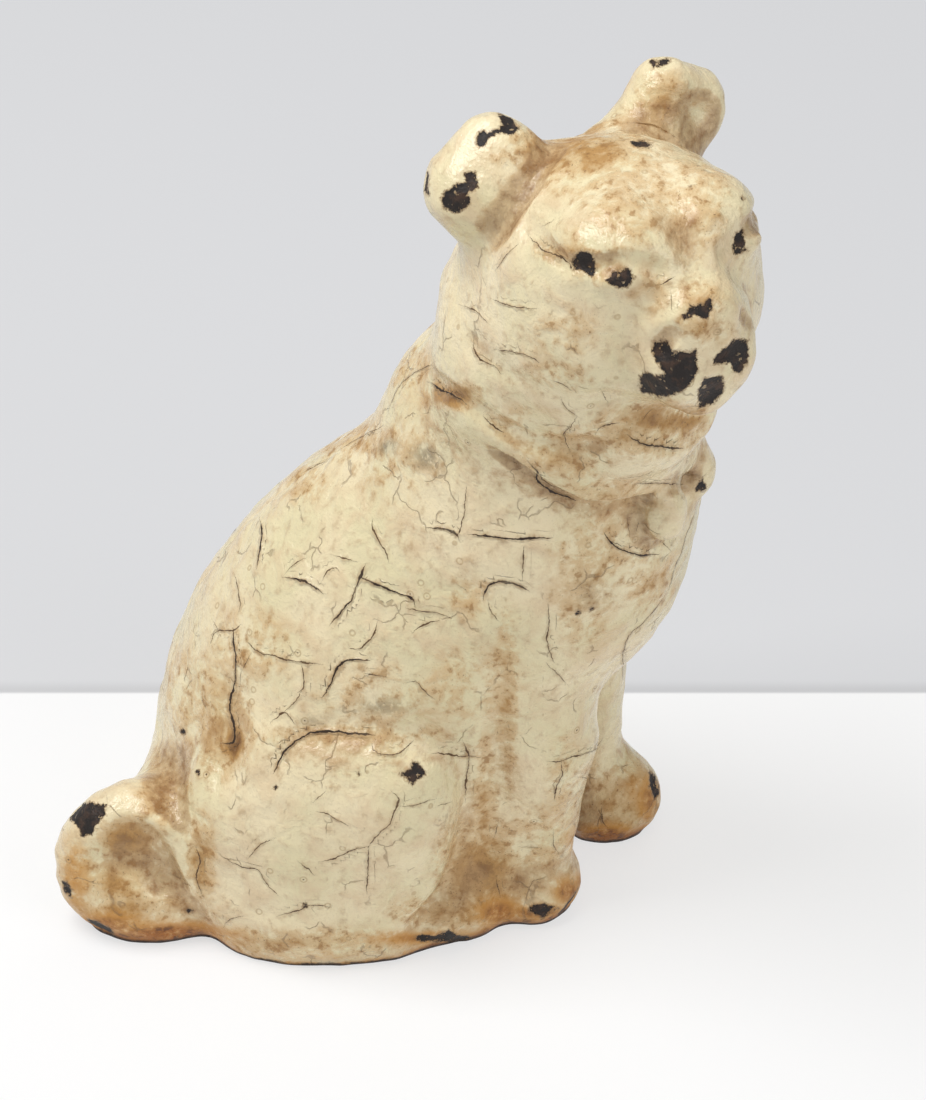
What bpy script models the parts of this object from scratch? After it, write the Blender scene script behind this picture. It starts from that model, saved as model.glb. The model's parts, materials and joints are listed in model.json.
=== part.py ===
"""Cast iron doorstop: a seated pup with its head turned, cast as two hollow halves and one tie screw.

The pup faces -Y, its right flank is at -X and it sits on z = 0. Places and sizes are in millimetres
and are turned to metres where a mesh is made. The outside is modelled as a sculptor would, as lumps
of clay pressed together: each lump is a ball or a tapered limb with a soft join to the rest. The
lumps are remeshed into one skin, which then settles on the smooth surface that their joins define.
"""

from math import ceil, cos, pi, radians, sin

import bmesh
import bpy
import numpy as np
from mathutils import Matrix

# Driving dimensions
MM = 0.001
WALL = 5.0                          # iron thickness of the hollow trunk and head
PARTING_GAP = 0.15                  # each half stops this far from the parting plane
CENTRE = (-1.747, 11.896)           # middle of the whole pup's box in the sculptor's frame

HEAD_AT = (-20.0, -32.4, 160.0)     # middle of the skull
HEAD_YAW = 55.0                     # the head looks this far to the pup's right
HEAD_PITCH = 14.0                   # and this far up
TAIL_AT = (-32.0, 65.5, 15.0)       # middle of the curled tail
TAIL_RADIUS = 6.8
COLLAR_AXIS = (-4.0, -19.5)
COLLAR_RADIUS = 4.4                 # half the thickness of each of the collar's two rolls
COLLAR_SPREAD = 2.2                 # each roll lies this far above or below the collar's line
COLLAR_SINK = 3.6                   # how deep the rolls' middles lie under the collar's line
COLLAR_EDGE = 7.0                   # the grooves along the collar's edges lie this far from its line
COLLAR_GROOVE_SINK = 2.2

SCREW_AT = (12.0, 75.0)             # y and z of the tie screw
SCREW_TIP_X = -18.5
SCREW_SEAT_X = 26.0                 # where the screw's head bears on the left half
SCREW_RADIUS = 3.175                # a quarter inch machine screw
SCREW_CHAMFER = 1.0
HEAD_RADIUS = 5.6
HEAD_EDGE = 1.4                     # height of the head's straight side
HEAD_HEIGHT = 3.6
SLOT_WIDTH = 1.5
SLOT_DEPTH = 1.8
SLOT_TURN = 35.0                    # the screw was left at this angle
BOSS_RADIUS = 7.2
BOSS_REACH = 28.5                   # the bosses end inside the flanks' wall
BORE_RADIUS = 3.6
BORE_END_X = -20.5
RECESS_RADIUS = 6.8

LUG_AT = ((27.5, 89.5), (52.0, 48.5), (-39.0, 88.5))    # y and z of the lugs on back, rump and chest
LUG_RADIUS = 4.2
LUG_LENGTH = 9.0
PIN_RADIUS = 1.6
PIN_LENGTH = 3.0
SOCKET_RADIUS = 2.0
SOCKET_DEPTH = 3.6

# Mesh sizes
SPHERE_SIDES = 20
ROUND_SIDES = 24
COARSE_VOXEL = 2.2
FINE_VOXEL = 1.7
SKIN_TRIANGLES = 9000
CORE_TRIANGLES = 2000
REACH = 120.0                       # the cutting blocks are this large
OVERLAP = 4.0                       # a cutter passes its target's face by this much
FAR = 1000.0
CREASE_REACH = 3.0                  # a groove has faded out at this many times its width
BALL_SPACING = 0.4                  # the balls along a limb, as a share of their radius
DOME_STEPS = 6
MERGE = 0.0001

# How the skin settles on the clay
SETTLE_ROUNDS = 4
PROBE = 0.1
LEAST_SLOPE = 0.3
LONGEST_STEP = 2.0


def turn_x(degrees):
    c, s = cos(radians(degrees)), sin(radians(degrees))
    return np.array([[1, 0, 0], [0, c, -s], [0, s, c]])


def turn_z(degrees):
    c, s = cos(radians(degrees)), sin(radians(degrees))
    return np.array([[c, -s, 0], [s, c, 0], [0, 0, 1]])


def soft_curve(points, closed, steps=3):
    """Points along a smooth curve through the given ones."""
    knots = [np.array(p, float) for p in points]
    count = len(knots)
    curve = []
    for i in range(count if closed else count - 1):
        near = [knots[(i + k) % count] if closed else knots[min(max(i + k, 0), count - 1)]
                for k in (-1, 0, 1, 2)]
        for j in range(steps):
            t = j / steps
            rise = near[2] - near[0]
            bend = 2 * near[0] - 5 * near[1] + 4 * near[2] - near[3]
            twist = 3 * near[1] - near[0] - 3 * near[2] + near[3]
            curve.append(0.5 * (2 * near[1] + rise * t + bend * t * t + twist * t ** 3))
    curve.append(curve[0] if closed else knots[-1])
    return curve


class Clay:
    """Lumps pressed together one after another, each with a soft join to those before it."""

    def __init__(self):
        self.lumps = []
        self.origin = np.zeros(3)
        self.turn = np.eye(3)

    def place(self, origin=(0, 0, 0), turn=np.eye(3)):
        """Later lumps are given in a frame with this origin and turn."""
        self.origin = np.array(origin, float)
        self.turn = turn

    def point(self, p):
        return self.origin + self.turn @ np.array(p, float)

    def add(self, kind, chain, reach, **details):
        """Keeps a lump, with a ball around it outside of which it can be left out of sums."""
        middle = np.mean([p for p, _ in chain], axis=0)
        farthest = max(np.linalg.norm(p - middle) + radius for p, radius in chain)
        self.lumps.append({"kind": kind, "chain": chain, "middle": middle, "reach": farthest + reach,
                           "hollow": False, "scoop": False, **details})

    def ball(self, centre, radii, join, tilt=0, hollow=False, scoop=False):
        """An ellipsoid. A hollow one has the core inside it, and a scoop takes clay away."""
        self.add("ball", [(self.point(centre), max(radii))], join, radii=np.array(radii, float),
                 axes=self.turn @ turn_x(tilt), join=join, hollow=hollow, scoop=scoop)

    def limb(self, points, join, hollow=False):
        """A chain of (x, y, z, radius), tapered from each point to the next."""
        self.add("limb", [(self.point(p[:3]), p[3]) for p in points], join, join=join, hollow=hollow)

    def crease(self, points, width, depth):
        """A soft groove along a line."""
        chain = [(self.point(p), 0.0) for p in points]
        self.add("crease", chain, CREASE_REACH * width, width=width, depth=depth)


def ball_distance(p, lump):
    local = (p - lump["middle"]) @ lump["axes"]
    radii = lump["radii"]
    scaled = np.sqrt(((local / radii) ** 2).sum(-1))
    slope = np.sqrt(((local / radii ** 2) ** 2).sum(-1))
    return scaled * (scaled - 1) / np.maximum(slope, 1e-9)


def chain_distance(p, lump):
    """Distance to the nearest segment's surface, with the radius running from end to end."""
    nearest = np.full(len(p), 1e9)
    for (a, a_radius), (b, b_radius) in zip(lump["chain"][:-1], lump["chain"][1:]):
        along = b - a
        t = np.clip(((p - a) @ along) / (along @ along), 0, 1)
        away = np.sqrt(((p - a - t[:, None] * along) ** 2).sum(-1))
        nearest = np.minimum(nearest, away - (a_radius + (b_radius - a_radius) * t))
    return nearest


def soft_min(a, b, join):
    overlap = np.maximum(join - np.abs(a - b), 0) / join
    return np.minimum(a, b) - overlap * overlap * join / 4


def surface_distance(p, lumps):
    """Distance from the clay's surface, negative inside."""
    d = np.full(len(p), FAR)
    for lump in lumps:
        away = np.sqrt(((p - lump["middle"]) ** 2).sum(-1)) - lump["reach"]
        near = np.flatnonzero(away < (0 if lump["kind"] == "crease" or lump["scoop"] else d))
        if not len(near):
            continue
        if lump["kind"] == "crease":
            d[near] += lump["depth"] * np.exp(-(chain_distance(p[near], lump) / lump["width"]) ** 2)
            continue
        own = (ball_distance if lump["kind"] == "ball" else chain_distance)(p[near], lump)
        if lump["scoop"]:
            d[near] = -soft_min(-d[near], own, lump["join"])
        else:
            d[near] = soft_min(d[near], own, lump["join"])
    return d


def model_trunk(clay):
    clay.ball((0, 30, 26), (36, 36, 50), 8, hollow=True)
    clay.ball((0, 12, 62), (32, 36, 42), 18, tilt=12, hollow=True)
    clay.ball((0, -12, 86), (30, 33, 38), 14, hollow=True)
    clay.limb([(0, -16, 108, 27), (-6.5, -19, 141, 24.8)], 16, hollow=True)
    clay.ball((2, 4, 112), (15, 10, 12), 10)
    clay.ball((-16, -33, 131), (20, 17, 16), 10)
    clay.ball((-20, -14, 134), (13, 16, 16), 10)
    for side in (-1, 1):
        clay.limb([(side * 12, 0, 60, 19), (side * 12, -2, 30, 16), (side * 12, -3, 10, 15)], 9,
                  hollow=True)


def model_hind_legs(clay):
    for side in (-1, 1):
        clay.ball((side * 30, 27, 24), (15, 29, 31), 7, hollow=True)
        clay.ball((side * 31, 11, 40), (10.5, 10, 12.5), 12)
        clay.ball((side * 29, 32, 8), (15, 23, 16), 8, hollow=True)
        clay.limb([(side * 28, 12, 5.5, 9.5), (side * 23.5, -1, 5, 9)], 8)
        # The thigh's edge, over its top and down its front
        clay.crease([(side * 40, 37, 45), (side * 36, 29.5, 54), (side * 35, 22, 57), (side * 35.5, 14, 57.5),
                     (side * 36, 5, 56.5), (side * 34.5, -2, 52.5)], 2.6, 0.8)
        clay.crease([(side * 36, 5, 56.5), (side * 34.5, -2, 52.5), (side * 33, -5.5, 44.5),
                     (side * 31.5, -5.5, 34.5), (side * 31.5, -4, 24), (side * 33.5, -0.5, 15.5),
                     (side * 37, 4, 9.5)], 3.0, 2.4)
        clay.crease([(side * 31, -3, 51), (side * 30.5, -4, 44.5), (side * 29.5, -4, 37.5),
                     (side * 29, -3.5, 29), (side * 30, -2, 21.5), (side * 32, 0.5, 15.5),
                     (side * 35.5, 4, 12)], 1.5, 1.1)
        # The fold above the hip
        clay.crease([(side * 26, 44.5, 57), (side * 29, 43.5, 52), (side * 33, 43.5, 46)], 3.2, 0.9)


def model_front_legs(clay):
    clay.limb([(-16, -9, 80, 15), (-16, -17, 45, 12), (-13.5, -15.3, 17, 9)], 5)
    clay.ball((-14, -16, 5), (12, 10, 8.5), 5)
    clay.limb([(14, -12, 78, 15), (14.5, -20, 45, 11.5), (12.5, -21, 14, 9.5)], 5)
    clay.ball((12.5, -27, 7), (11.5, 12.6, 11.5), 6)
    for side in (-1, 1):
        clay.crease([(side * 33, -11, 80), (side * 32, -9.5, 62), (side * 29, -8.5, 42),
                     (side * 27, -8.5, 20)], 2.8, 1.9)


def model_tail(clay):
    clay.limb([(-12, 56, 20, 11), (-27, 62, 24, 8.5)], 6)
    clay.place(TAIL_AT)
    clay.ball((2, -2, -7), (12.5, 14, 14), 6)
    curl = [(4, -15, -4), (1, -7, 8), (0, 1, 12.5), (-1, 8.5, 5), (-2, 8.5, -5), (-2, 1, -9), (-1, -9, -9)]
    clay.limb([(*p, TAIL_RADIUS) for p in soft_curve(curl, closed=False)], 5)
    clay.ball((-2, 4, -5), (6, 8, 8), 5)
    clay.place()
    # The ridge where the curl comes out of the rump, and the hollow beside it
    clay.crease([(-37.5, 59.5, 31), (-37.5, 56.5, 29), (-38, 54.5, 26), (-39, 53, 22), (-40, 51.5, 18.5),
                 (-40, 50, 16)], 3.0, -1.4)
    clay.crease([(-38.5, 64.5, 28), (-38, 61.5, 27.5), (-38, 59.5, 25), (-38, 58.5, 21), (-38.5, 57.5, 16.5)],
                3.0, 1.8)


def model_collar(clay):
    line = [(-4, 4, 130), (-16, 3, 132), (-27, -4, 133), (-33, -12, 130), (-34, -20, 124),
            (-32.5, -27, 120), (-28, -35, 118), (-18, -42, 115), (-5, -45.5, 113), (9, -43, 114),
            (20, -35, 117), (26, -24, 121), (26, -12, 126), (17, -2, 129), (6, 3, 130)]
    for lift in (-COLLAR_SPREAD, COLLAR_SPREAD):
        roll = []
        for x, y, z in soft_curve(line, closed=True):
            out = np.array((x - COLLAR_AXIS[0], y - COLLAR_AXIS[1]))
            x, y = (x, y) - out * COLLAR_SINK / np.hypot(*out)
            roll.append((x, y, z + lift, COLLAR_RADIUS))
        clay.limb(roll, 2.5)
    # The collar stands proud of the chest below it, and of the neck and throat above
    edge = []
    for x, y, z in soft_curve(line, closed=True):
        out = np.array((x - COLLAR_AXIS[0], y - COLLAR_AXIS[1]))
        x, y = (x, y) - out * COLLAR_GROOVE_SINK / np.hypot(*out)
        edge.append((x, y, z - COLLAR_EDGE))
    clay.crease(edge, 2.0, 1.7)
    clay.crease([(-21, 4, 132), (-25.5, 2, 133.5), (-29.5, -1, 134), (-32.5, -6.5, 133.5), (-34, -11.5, 131.5),
                 (-35.5, -16, 130), (-36, -21.5, 129.5), (-36, -27.5, 130.5)], 2.0, 2.0)
    clay.crease([(6, 3, 137), (17, -2, 136), (25, -12, 133), (25, -24, 128), (19, -35, 124),
                 (9, -42, 121)], 2.2, 1.1)
    # A round bell, and the end of the strap beside it
    clay.ball((-19.5, -40, 105.7), (5.6, 5.6, 7), 1.5)
    clay.ball((-4, -45.5, 105), (5, 4, 6), 3)


def model_head(clay):
    """In the head's own frame X is to the pup's right, Y is forward and Z is up."""
    clay.place(HEAD_AT, turn_z(180 - HEAD_YAW) @ turn_x(HEAD_PITCH))
    clay.ball((0, -4, 0), (26, 29, 25), 8, hollow=True)
    clay.ball((0, -4, -11), (24, 20, 17), 10)
    clay.ball((0, 17, 5), (10, 9.5, 10), 7)
    clay.ball((-1.8, 18, -6.5), (10.5, 12.5, 12), 5)
    clay.ball((0, 22, -2), (10, 8.5, 6), 5)
    clay.ball((0, 27.5, 0.5), (6.5, 3.5, 4), 5)
    clay.ball((-2, 19, -18), (6.5, 6.5, 5.5), 4)
    for side in (-1, 1):
        clay.ball((side * 5.5 - 0.8, 20, -11), (6, 9.5, 8), 4)
        clay.ball((side * 9.5, 13, 11.5), (9.5, 9.5, 8), 8)
        clay.ball((side * 12.7, 20.8, 8.2), (4.2, 2.4, 2.8), 2)
        # The eyelid, the corner of the nose, the edge of the lip and the roll of the jaw
        clay.crease([(side * 21.5, -2, 16), (side * 21, 7, 13), (side * 20, 14, 10.5), (side * 16, 20.5, 11),
                     (side * 12, 23.5, 11.5), (side * 7, 25, 9)], 1.6, 1.25)
        clay.crease([(side * 9, 24.5, 5), (side * 12, 22, 1), (side * 13, 20, -5), (side * 12.5, 19, -12),
                     (side * 9.5, 21, -17)], 2.4, 0.8)
        clay.crease([(side * 7, 28.5, -2), (side * 9, 26, -5)], 1.6, 0.8)
        clay.crease([(side * 28, -11.5, -10), (side * 27, -3, -14), (side * 21, 8.5, -17.5),
                     (side * 10, 15, -21.5)], 2.4, 0.4)
        clay.crease([(side * 10, -9, 23), (side * 17, -4.5, 19), (side * 22, -5.5, 13.5),
                     (side * 25, -11.5, 9)], 2.2, 1.1)
    clay.crease([(0, 16, 23), (0, 21.5, 16), (0, 25, 10.5)], 3.2, 1.3)
    clay.crease([(0, 31, -3), (0, 32, -12), (0, 30, -18)], 1.6, 1.1)
    model_ears(clay)
    clay.place()
    # The throat falls back under the edge of the jaw, down to the collar
    clay.crease([(-41, -32.5, 142.5), (-39.5, -36.5, 140), (-36.5, -40.5, 138), (-32, -45, 135.5),
                 (-28, -48, 134)], 4.4, 4.2)
    clay.crease([(-38.5, -32, 136), (-37.5, -35, 135), (-35.5, -38.5, 133), (-33, -42, 130.5),
                 (-29, -45.5, 128.5), (-25, -47.5, 127.5)], 2.0, 1.6)


def model_ears(clay):
    clay.limb([(12, -18, 16, 9), (17, -17, 24, 5.5)], 5)
    clay.limb([(14, -19, 5, 9), (20.5, -18, 15.5, 9)], 6)
    clay.limb([(21.5, -18, 18, 8.8), (17, -17, 24.4, 5.6)], 5)
    clay.limb([(-12, -18, 16, 9), (-18, -17, 25, 6)], 5)
    clay.limb([(-14, -20, 8, 8), (-22, -18, 20, 7.6)], 6)
    clay.limb([(-24.2, -18, 22, 7.8), (-19.5, -17, 26.6, 5.8)], 5)
    clay.ball((15, -13, 19), (6.5, 6, 8), 4)
    clay.ball((-23.5, -8, 22), (2.8, 2.5, 3), 5, scoop=True)


def model_pup():
    clay = Clay()
    model_trunk(clay)
    model_hind_legs(clay)
    model_front_legs(clay)
    model_tail(clay)
    model_collar(clay)
    clay.crease([(-34, 44.5, 47), (-34, 44, 44)], 5.5, 2.6)
    model_head(clay)
    return clay


def lump_balls(lumps, inset):
    """The balls that stand for the lumps, close together along each limb, as (centre, axes times radii)."""
    for lump in lumps:
        if lump["scoop"] or lump["kind"] == "crease":
            continue
        if lump["kind"] == "ball":
            yield lump["middle"], lump["axes"] * (lump["radii"] - inset)
            continue
        for (a, a_radius), (b, b_radius) in zip(lump["chain"][:-1], lump["chain"][1:]):
            steps = ceil(np.linalg.norm(b - a) / (BALL_SPACING * (min(a_radius, b_radius) - inset)))
            for i in range(steps + 1):
                radius = a_radius + (b_radius - a_radius) * i / steps - inset
                yield a + (b - a) * i / steps, np.eye(3) * radius


def lumps_to_mesh(name, lumps, inset):
    """One loose sphere for each of the lumps' balls, all drawn in by the inset."""
    bm = bmesh.new()
    bmesh.ops.create_uvsphere(bm, u_segments=SPHERE_SIDES, v_segments=SPHERE_SIDES // 2, radius=1)
    unit = np.array([v.co for v in bm.verts])
    faces = [[v.index for v in face.verts] for face in bm.faces]
    bm.free()
    points, sides = [], []
    for centre, stretch in lump_balls(lumps, inset):
        sides += [[index + len(points) for index in face] for face in faces]
        points += (unit @ stretch.T + centre).tolist()
    mesh = bpy.data.meshes.new(name)
    mesh.from_pydata(points, [], sides)
    return mesh


def link(name, mesh, collection):
    made = bpy.data.objects.new(name, mesh)
    collection.objects.link(made)
    return made


def bake_modifiers(thing):
    """Replaces the object's mesh with what its modifiers make of it."""
    bpy.context.view_layer.update()
    evaluated = thing.evaluated_get(bpy.context.evaluated_depsgraph_get())
    mesh = bpy.data.meshes.new_from_object(evaluated)
    thing.modifiers.clear()
    thing.data = mesh


def settle(mesh, distance):
    """Moves each vertex along the slope until it lies on the surface where the distance is zero."""
    co = np.empty(len(mesh.vertices) * 3, np.float32)
    mesh.vertices.foreach_get("co", co)
    p = co.reshape(-1, 3).astype(float)
    for _ in range(SETTLE_ROUNDS):
        d = distance(p)
        slope = np.stack([distance(p + step) - d for step in np.eye(3) * PROBE], -1) / PROBE
        move = d / np.maximum((slope ** 2).sum(-1), LEAST_SLOPE)
        p -= np.clip(move, -LONGEST_STEP, LONGEST_STEP)[:, None] * slope
    mesh.vertices.foreach_set("co", p.astype(np.float32).ravel())
    mesh.update()


def sculpt(name, lumps, inset, triangles, collection):
    """One closed skin over the lumps, this far inside their soft surface, in metres."""
    thing = link(name, lumps_to_mesh(name, lumps, inset), collection)
    for voxel in (COARSE_VOXEL, FINE_VOXEL):
        remesh = thing.modifiers.new("Remesh", "REMESH")
        remesh.mode = "VOXEL"
        remesh.voxel_size = voxel
        bake_modifiers(thing)
        settle(thing.data, lambda p: surface_distance(p, lumps) + inset)
    thing.data.calc_loop_triangles()
    decimate = thing.modifiers.new("Decimate", "DECIMATE")
    decimate.ratio = triangles / len(thing.data.loop_triangles)
    bake_modifiers(thing)
    thing.data.transform(Matrix.Translation((-CENTRE[0] * MM, -CENTRE[1] * MM, 0)) @ Matrix.Scale(MM, 4))
    return thing


def add_block(bm, low, high):
    """A box between two corners, in the sculptor's frame."""
    low, high = np.array(low, float), np.array(high, float)
    middle = (low + high) / 2 - (*CENTRE, 0)
    size = Matrix.Diagonal((*((high - low) * MM), 1))
    bmesh.ops.create_cube(bm, size=1, matrix=Matrix.Translation(middle * MM) @ size)


def add_rod(bm, yz, x_from, x_to, radius):
    """A cylinder along X between two places, in the sculptor's frame."""
    middle = np.array(((x_from + x_to) / 2, *yz)) - (*CENTRE, 0)
    matrix = Matrix.Translation(middle * MM) @ Matrix.Rotation(pi / 2, 4, "Y")
    bmesh.ops.create_cone(bm, cap_ends=True, segments=ROUND_SIDES, radius1=radius * MM,
                          radius2=radius * MM, depth=abs(x_to - x_from) * MM, matrix=matrix)


def finish_mesh(name, bm, collection):
    mesh = bpy.data.meshes.new(name)
    bm.to_mesh(mesh)
    bm.free()
    return link(name, mesh, collection)


def make_block(name, low, high, collection):
    bm = bmesh.new()
    add_block(bm, low, high)
    return finish_mesh(name, bm, collection)


def make_rods(name, rods, collection):
    """Rods that stand apart from each other, as (yz, x_from, x_to, radius)."""
    bm = bmesh.new()
    for rod in rods:
        add_rod(bm, *rod)
    return finish_mesh(name, bm, collection)


def boolean(thing, other, operation):
    modifier = thing.modifiers.new(other.name, "BOOLEAN")
    modifier.operation = operation
    modifier.solver = "EXACT"
    modifier.object = other


def make_half(name, side, holes, skin, core, parts, cutters):
    """The hollow half on one side of the parting plane, with its drilled boss and its three lugs."""
    half = link(name, skin.data.copy(), parts)
    boolean(half, core, "DIFFERENCE")
    posts = [(SCREW_AT, side * BOSS_REACH, -side * OVERLAP, BOSS_RADIUS)]
    posts += [(place, side * LUG_LENGTH, -side * OVERLAP, LUG_RADIUS) for place in LUG_AT]
    boolean(half, make_rods(name + "_posts", posts, cutters), "UNION")
    for number, group in enumerate(holes):
        boolean(half, make_rods(f"{name}_holes_{number}", group, cutters), "DIFFERENCE")
    outer, inner = side * REACH, side * PARTING_GAP
    keep = make_block(name + "_keep", (min(outer, inner), -REACH, 0), (max(outer, inner), REACH, 2 * REACH),
                      cutters)
    boolean(half, keep, "INTERSECT")
    return half


def make_right_half(skin, core, parts, cutters):
    """The half that the photo shows: blind hole for the screw and three sockets."""
    holes = [(SCREW_AT, BORE_END_X, 2 * OVERLAP, BORE_RADIUS)]
    holes += [(place, -PARTING_GAP - SOCKET_DEPTH, 2 * OVERLAP, SOCKET_RADIUS) for place in LUG_AT]
    return make_half("right_half_casting", -1, [holes], skin, core, parts, cutters)


def make_left_half(skin, core, parts, cutters):
    """The far half: through hole with a recess for the screw's head, and three pins."""
    bore = [(SCREW_AT, -2 * OVERLAP, REACH, BORE_RADIUS)]
    recess = [(SCREW_AT, SCREW_SEAT_X, REACH, RECESS_RADIUS)]
    half = make_half("left_half_casting", 1, [bore, recess], skin, core, parts, cutters)
    pins = [(place, OVERLAP, PARTING_GAP - PIN_LENGTH, PIN_RADIUS) for place in LUG_AT]
    boolean(half, make_rods("left_pins", pins, cutters), "UNION")
    return half


def make_screw(parts, cutters):
    """A turned profile from the middle of the domed head down to the middle of the tip."""
    seat, length = HEAD_HEIGHT, HEAD_HEIGHT + SCREW_SEAT_X - SCREW_TIP_X
    dome = HEAD_HEIGHT - HEAD_EDGE
    arc = [(HEAD_RADIUS * sin(a), -dome + dome * cos(a)) for a in np.linspace(0, pi / 2, DOME_STEPS)]
    outline = arc + [(HEAD_RADIUS, -seat), (SCREW_RADIUS, -seat),
                     (SCREW_RADIUS, -length + SCREW_CHAMFER),
                     (SCREW_RADIUS - SCREW_CHAMFER, -length), (0, -length)]
    bm = bmesh.new()
    ring = [bm.verts.new((r * MM, 0, z * MM)) for r, z in outline]
    for a, b in zip(ring[:-1], ring[1:]):
        bm.edges.new((a, b))
    screw = finish_mesh("tie_screw", bm, parts)
    turned = screw.modifiers.new("Turned", "SCREW")
    turned.steps = turned.render_steps = ROUND_SIDES
    turned.use_merge_vertices = True
    turned.merge_threshold = MERGE
    turned.use_smooth_shade = False
    # The slot is a block across the head, in the screw's own frame
    bm = bmesh.new()
    size = Matrix.Diagonal((4 * HEAD_RADIUS * MM, SLOT_WIDTH * MM, 2 * SLOT_DEPTH * MM, 1))
    bmesh.ops.create_cube(bm, size=1, matrix=size)
    slot = finish_mesh("screw_slot", bm, cutters)
    slot.parent = screw
    slot.rotation_euler = (0, 0, radians(SLOT_TURN))
    boolean(screw, slot, "DIFFERENCE")
    screw.rotation_euler = (0, pi / 2, 0)
    top = (SCREW_SEAT_X + HEAD_HEIGHT - CENTRE[0], SCREW_AT[0] - CENTRE[1], SCREW_AT[1])
    screw.location = [value * MM for value in top]
    return screw


def paint(thing, name, colour, roughness, metallic):
    material = bpy.data.materials.new(name)
    material.use_nodes = True
    shader = material.node_tree.nodes["Principled BSDF"]
    shader.inputs["Base Color"].default_value = (*colour, 1)
    shader.inputs["Roughness"].default_value = roughness
    shader.inputs["Metallic"].default_value = metallic
    material.diffuse_color = (*colour, 1)
    thing.data.materials.clear()
    thing.data.materials.append(material)


def main():
    for thing in list(bpy.data.objects):
        bpy.data.objects.remove(thing, do_unlink=True)
    scene = bpy.context.scene
    parts = bpy.data.collections.new("cast_iron_doorstop")
    cutters = bpy.data.collections.new("cutters")
    cutters.hide_render = True
    for collection in (parts, cutters):
        scene.collection.children.link(collection)

    lumps = model_pup().lumps
    hollow = [lump for lump in lumps if lump["hollow"]]
    skin = sculpt("skin", lumps, 0, SKIN_TRIANGLES, cutters)
    core = sculpt("core", hollow, WALL, CORE_TRIANGLES, cutters)
    right = make_right_half(skin, core, parts, cutters)
    left = make_left_half(skin, core, parts, cutters)
    screw = make_screw(parts, cutters)

    for thing in cutters.objects:
        thing.hide_render = True
        thing.display_type = "WIRE"
    paint(right, "right_cream_enamel", (0.72, 0.66, 0.48), 0.3, 0.0)
    paint(left, "left_cream_enamel", (0.72, 0.66, 0.48), 0.3, 0.0)
    paint(screw, "dark_steel", (0.12, 0.1, 0.09), 0.45, 0.9)


main()
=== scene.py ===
"""Cast iron doorstop, a seated pup: the two castings in full detail under old cream enamel, and the screw.

The pup is modelled as lumps of clay pressed together, in millimetres, in the sculptor's frame: it faces
-Y, its right flank is at -X and the parting plane of the two castings is x = 0. One move at the end
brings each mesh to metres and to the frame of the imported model. Marks on the enamel are placed by where
they show in the photograph, in its pixels, on the part of the surface that faces its camera.
"""
import json
from math import ceil, cos, pi, radians, sin

import bmesh
import bpy
import numpy as np
from mathutils import Matrix, Vector, noise
from mathutils.bvhtree import BVHTree

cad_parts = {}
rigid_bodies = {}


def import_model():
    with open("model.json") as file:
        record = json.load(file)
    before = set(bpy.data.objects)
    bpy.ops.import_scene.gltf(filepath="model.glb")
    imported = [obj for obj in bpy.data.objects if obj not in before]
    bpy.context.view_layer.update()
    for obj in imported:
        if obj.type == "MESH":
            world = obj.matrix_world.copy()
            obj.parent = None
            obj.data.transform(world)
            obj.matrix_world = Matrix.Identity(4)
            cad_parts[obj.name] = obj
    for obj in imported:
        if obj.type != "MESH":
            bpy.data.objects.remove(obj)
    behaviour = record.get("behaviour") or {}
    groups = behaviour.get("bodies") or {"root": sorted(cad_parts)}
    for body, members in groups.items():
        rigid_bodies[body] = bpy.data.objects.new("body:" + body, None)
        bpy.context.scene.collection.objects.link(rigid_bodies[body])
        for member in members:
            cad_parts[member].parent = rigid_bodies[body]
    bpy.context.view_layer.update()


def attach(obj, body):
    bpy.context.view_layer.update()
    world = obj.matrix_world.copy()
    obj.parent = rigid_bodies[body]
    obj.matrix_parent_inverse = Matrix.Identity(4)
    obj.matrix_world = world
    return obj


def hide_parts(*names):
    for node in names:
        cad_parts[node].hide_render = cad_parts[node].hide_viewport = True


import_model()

# Driving dimensions of the castings, in millimetres
MM = 0.001
WALL = 5.0                          # iron thickness of the hollow trunk and head
JOINT_GAP = 0.02                    # each dressed half stops this far from the parting plane
CENTRE = (-1.747, 11.896)           # middle of the whole pup's box in the sculptor's frame

HEAD_AT = (-20.0, -32.4, 160.0)     # middle of the skull
HEAD_YAW = 55.0                     # the head looks this far to the pup's right
HEAD_PITCH = 14.0                   # and this far up
TAIL_AT = (-32.0, 65.5, 15.0)       # middle of the curled tail
TAIL_RADIUS = 6.8
COLLAR_AXIS = (-4.0, -19.5)
COLLAR_RADIUS = 4.4                 # half the thickness of each of the collar's two rolls
COLLAR_SPREAD = 2.2                 # each roll lies this far above or below the collar's line
COLLAR_SINK = 3.6                   # how deep the rolls' middles lie under the collar's line
COLLAR_EDGE = 7.0                   # the grooves along the collar's edges lie this far from its line
COLLAR_GROOVE_SINK = 2.2

SCREW_AT = (12.0, 75.0)             # y and z of the tie screw
SCREW_TIP_X = -18.5
SCREW_SEAT_X = 26.0                 # where the screw's head bears on the left half
SCREW_RADIUS = 3.175                # a quarter inch machine screw
SCREW_CHAMFER = 1.0
HEAD_RADIUS = 5.6
HEAD_EDGE = 1.4                     # height of the head's straight side
HEAD_HEIGHT = 3.6
SLOT_WIDTH = 1.5
SLOT_DEPTH = 1.8
SLOT_TURN = 35.0                    # the screw was left at this angle
BOSS_RADIUS = 7.2
BOSS_REACH = 28.5                   # the bosses end inside the flanks' wall
BORE_RADIUS = 3.6
BORE_END_X = -20.5
RECESS_RADIUS = 6.8

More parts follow.
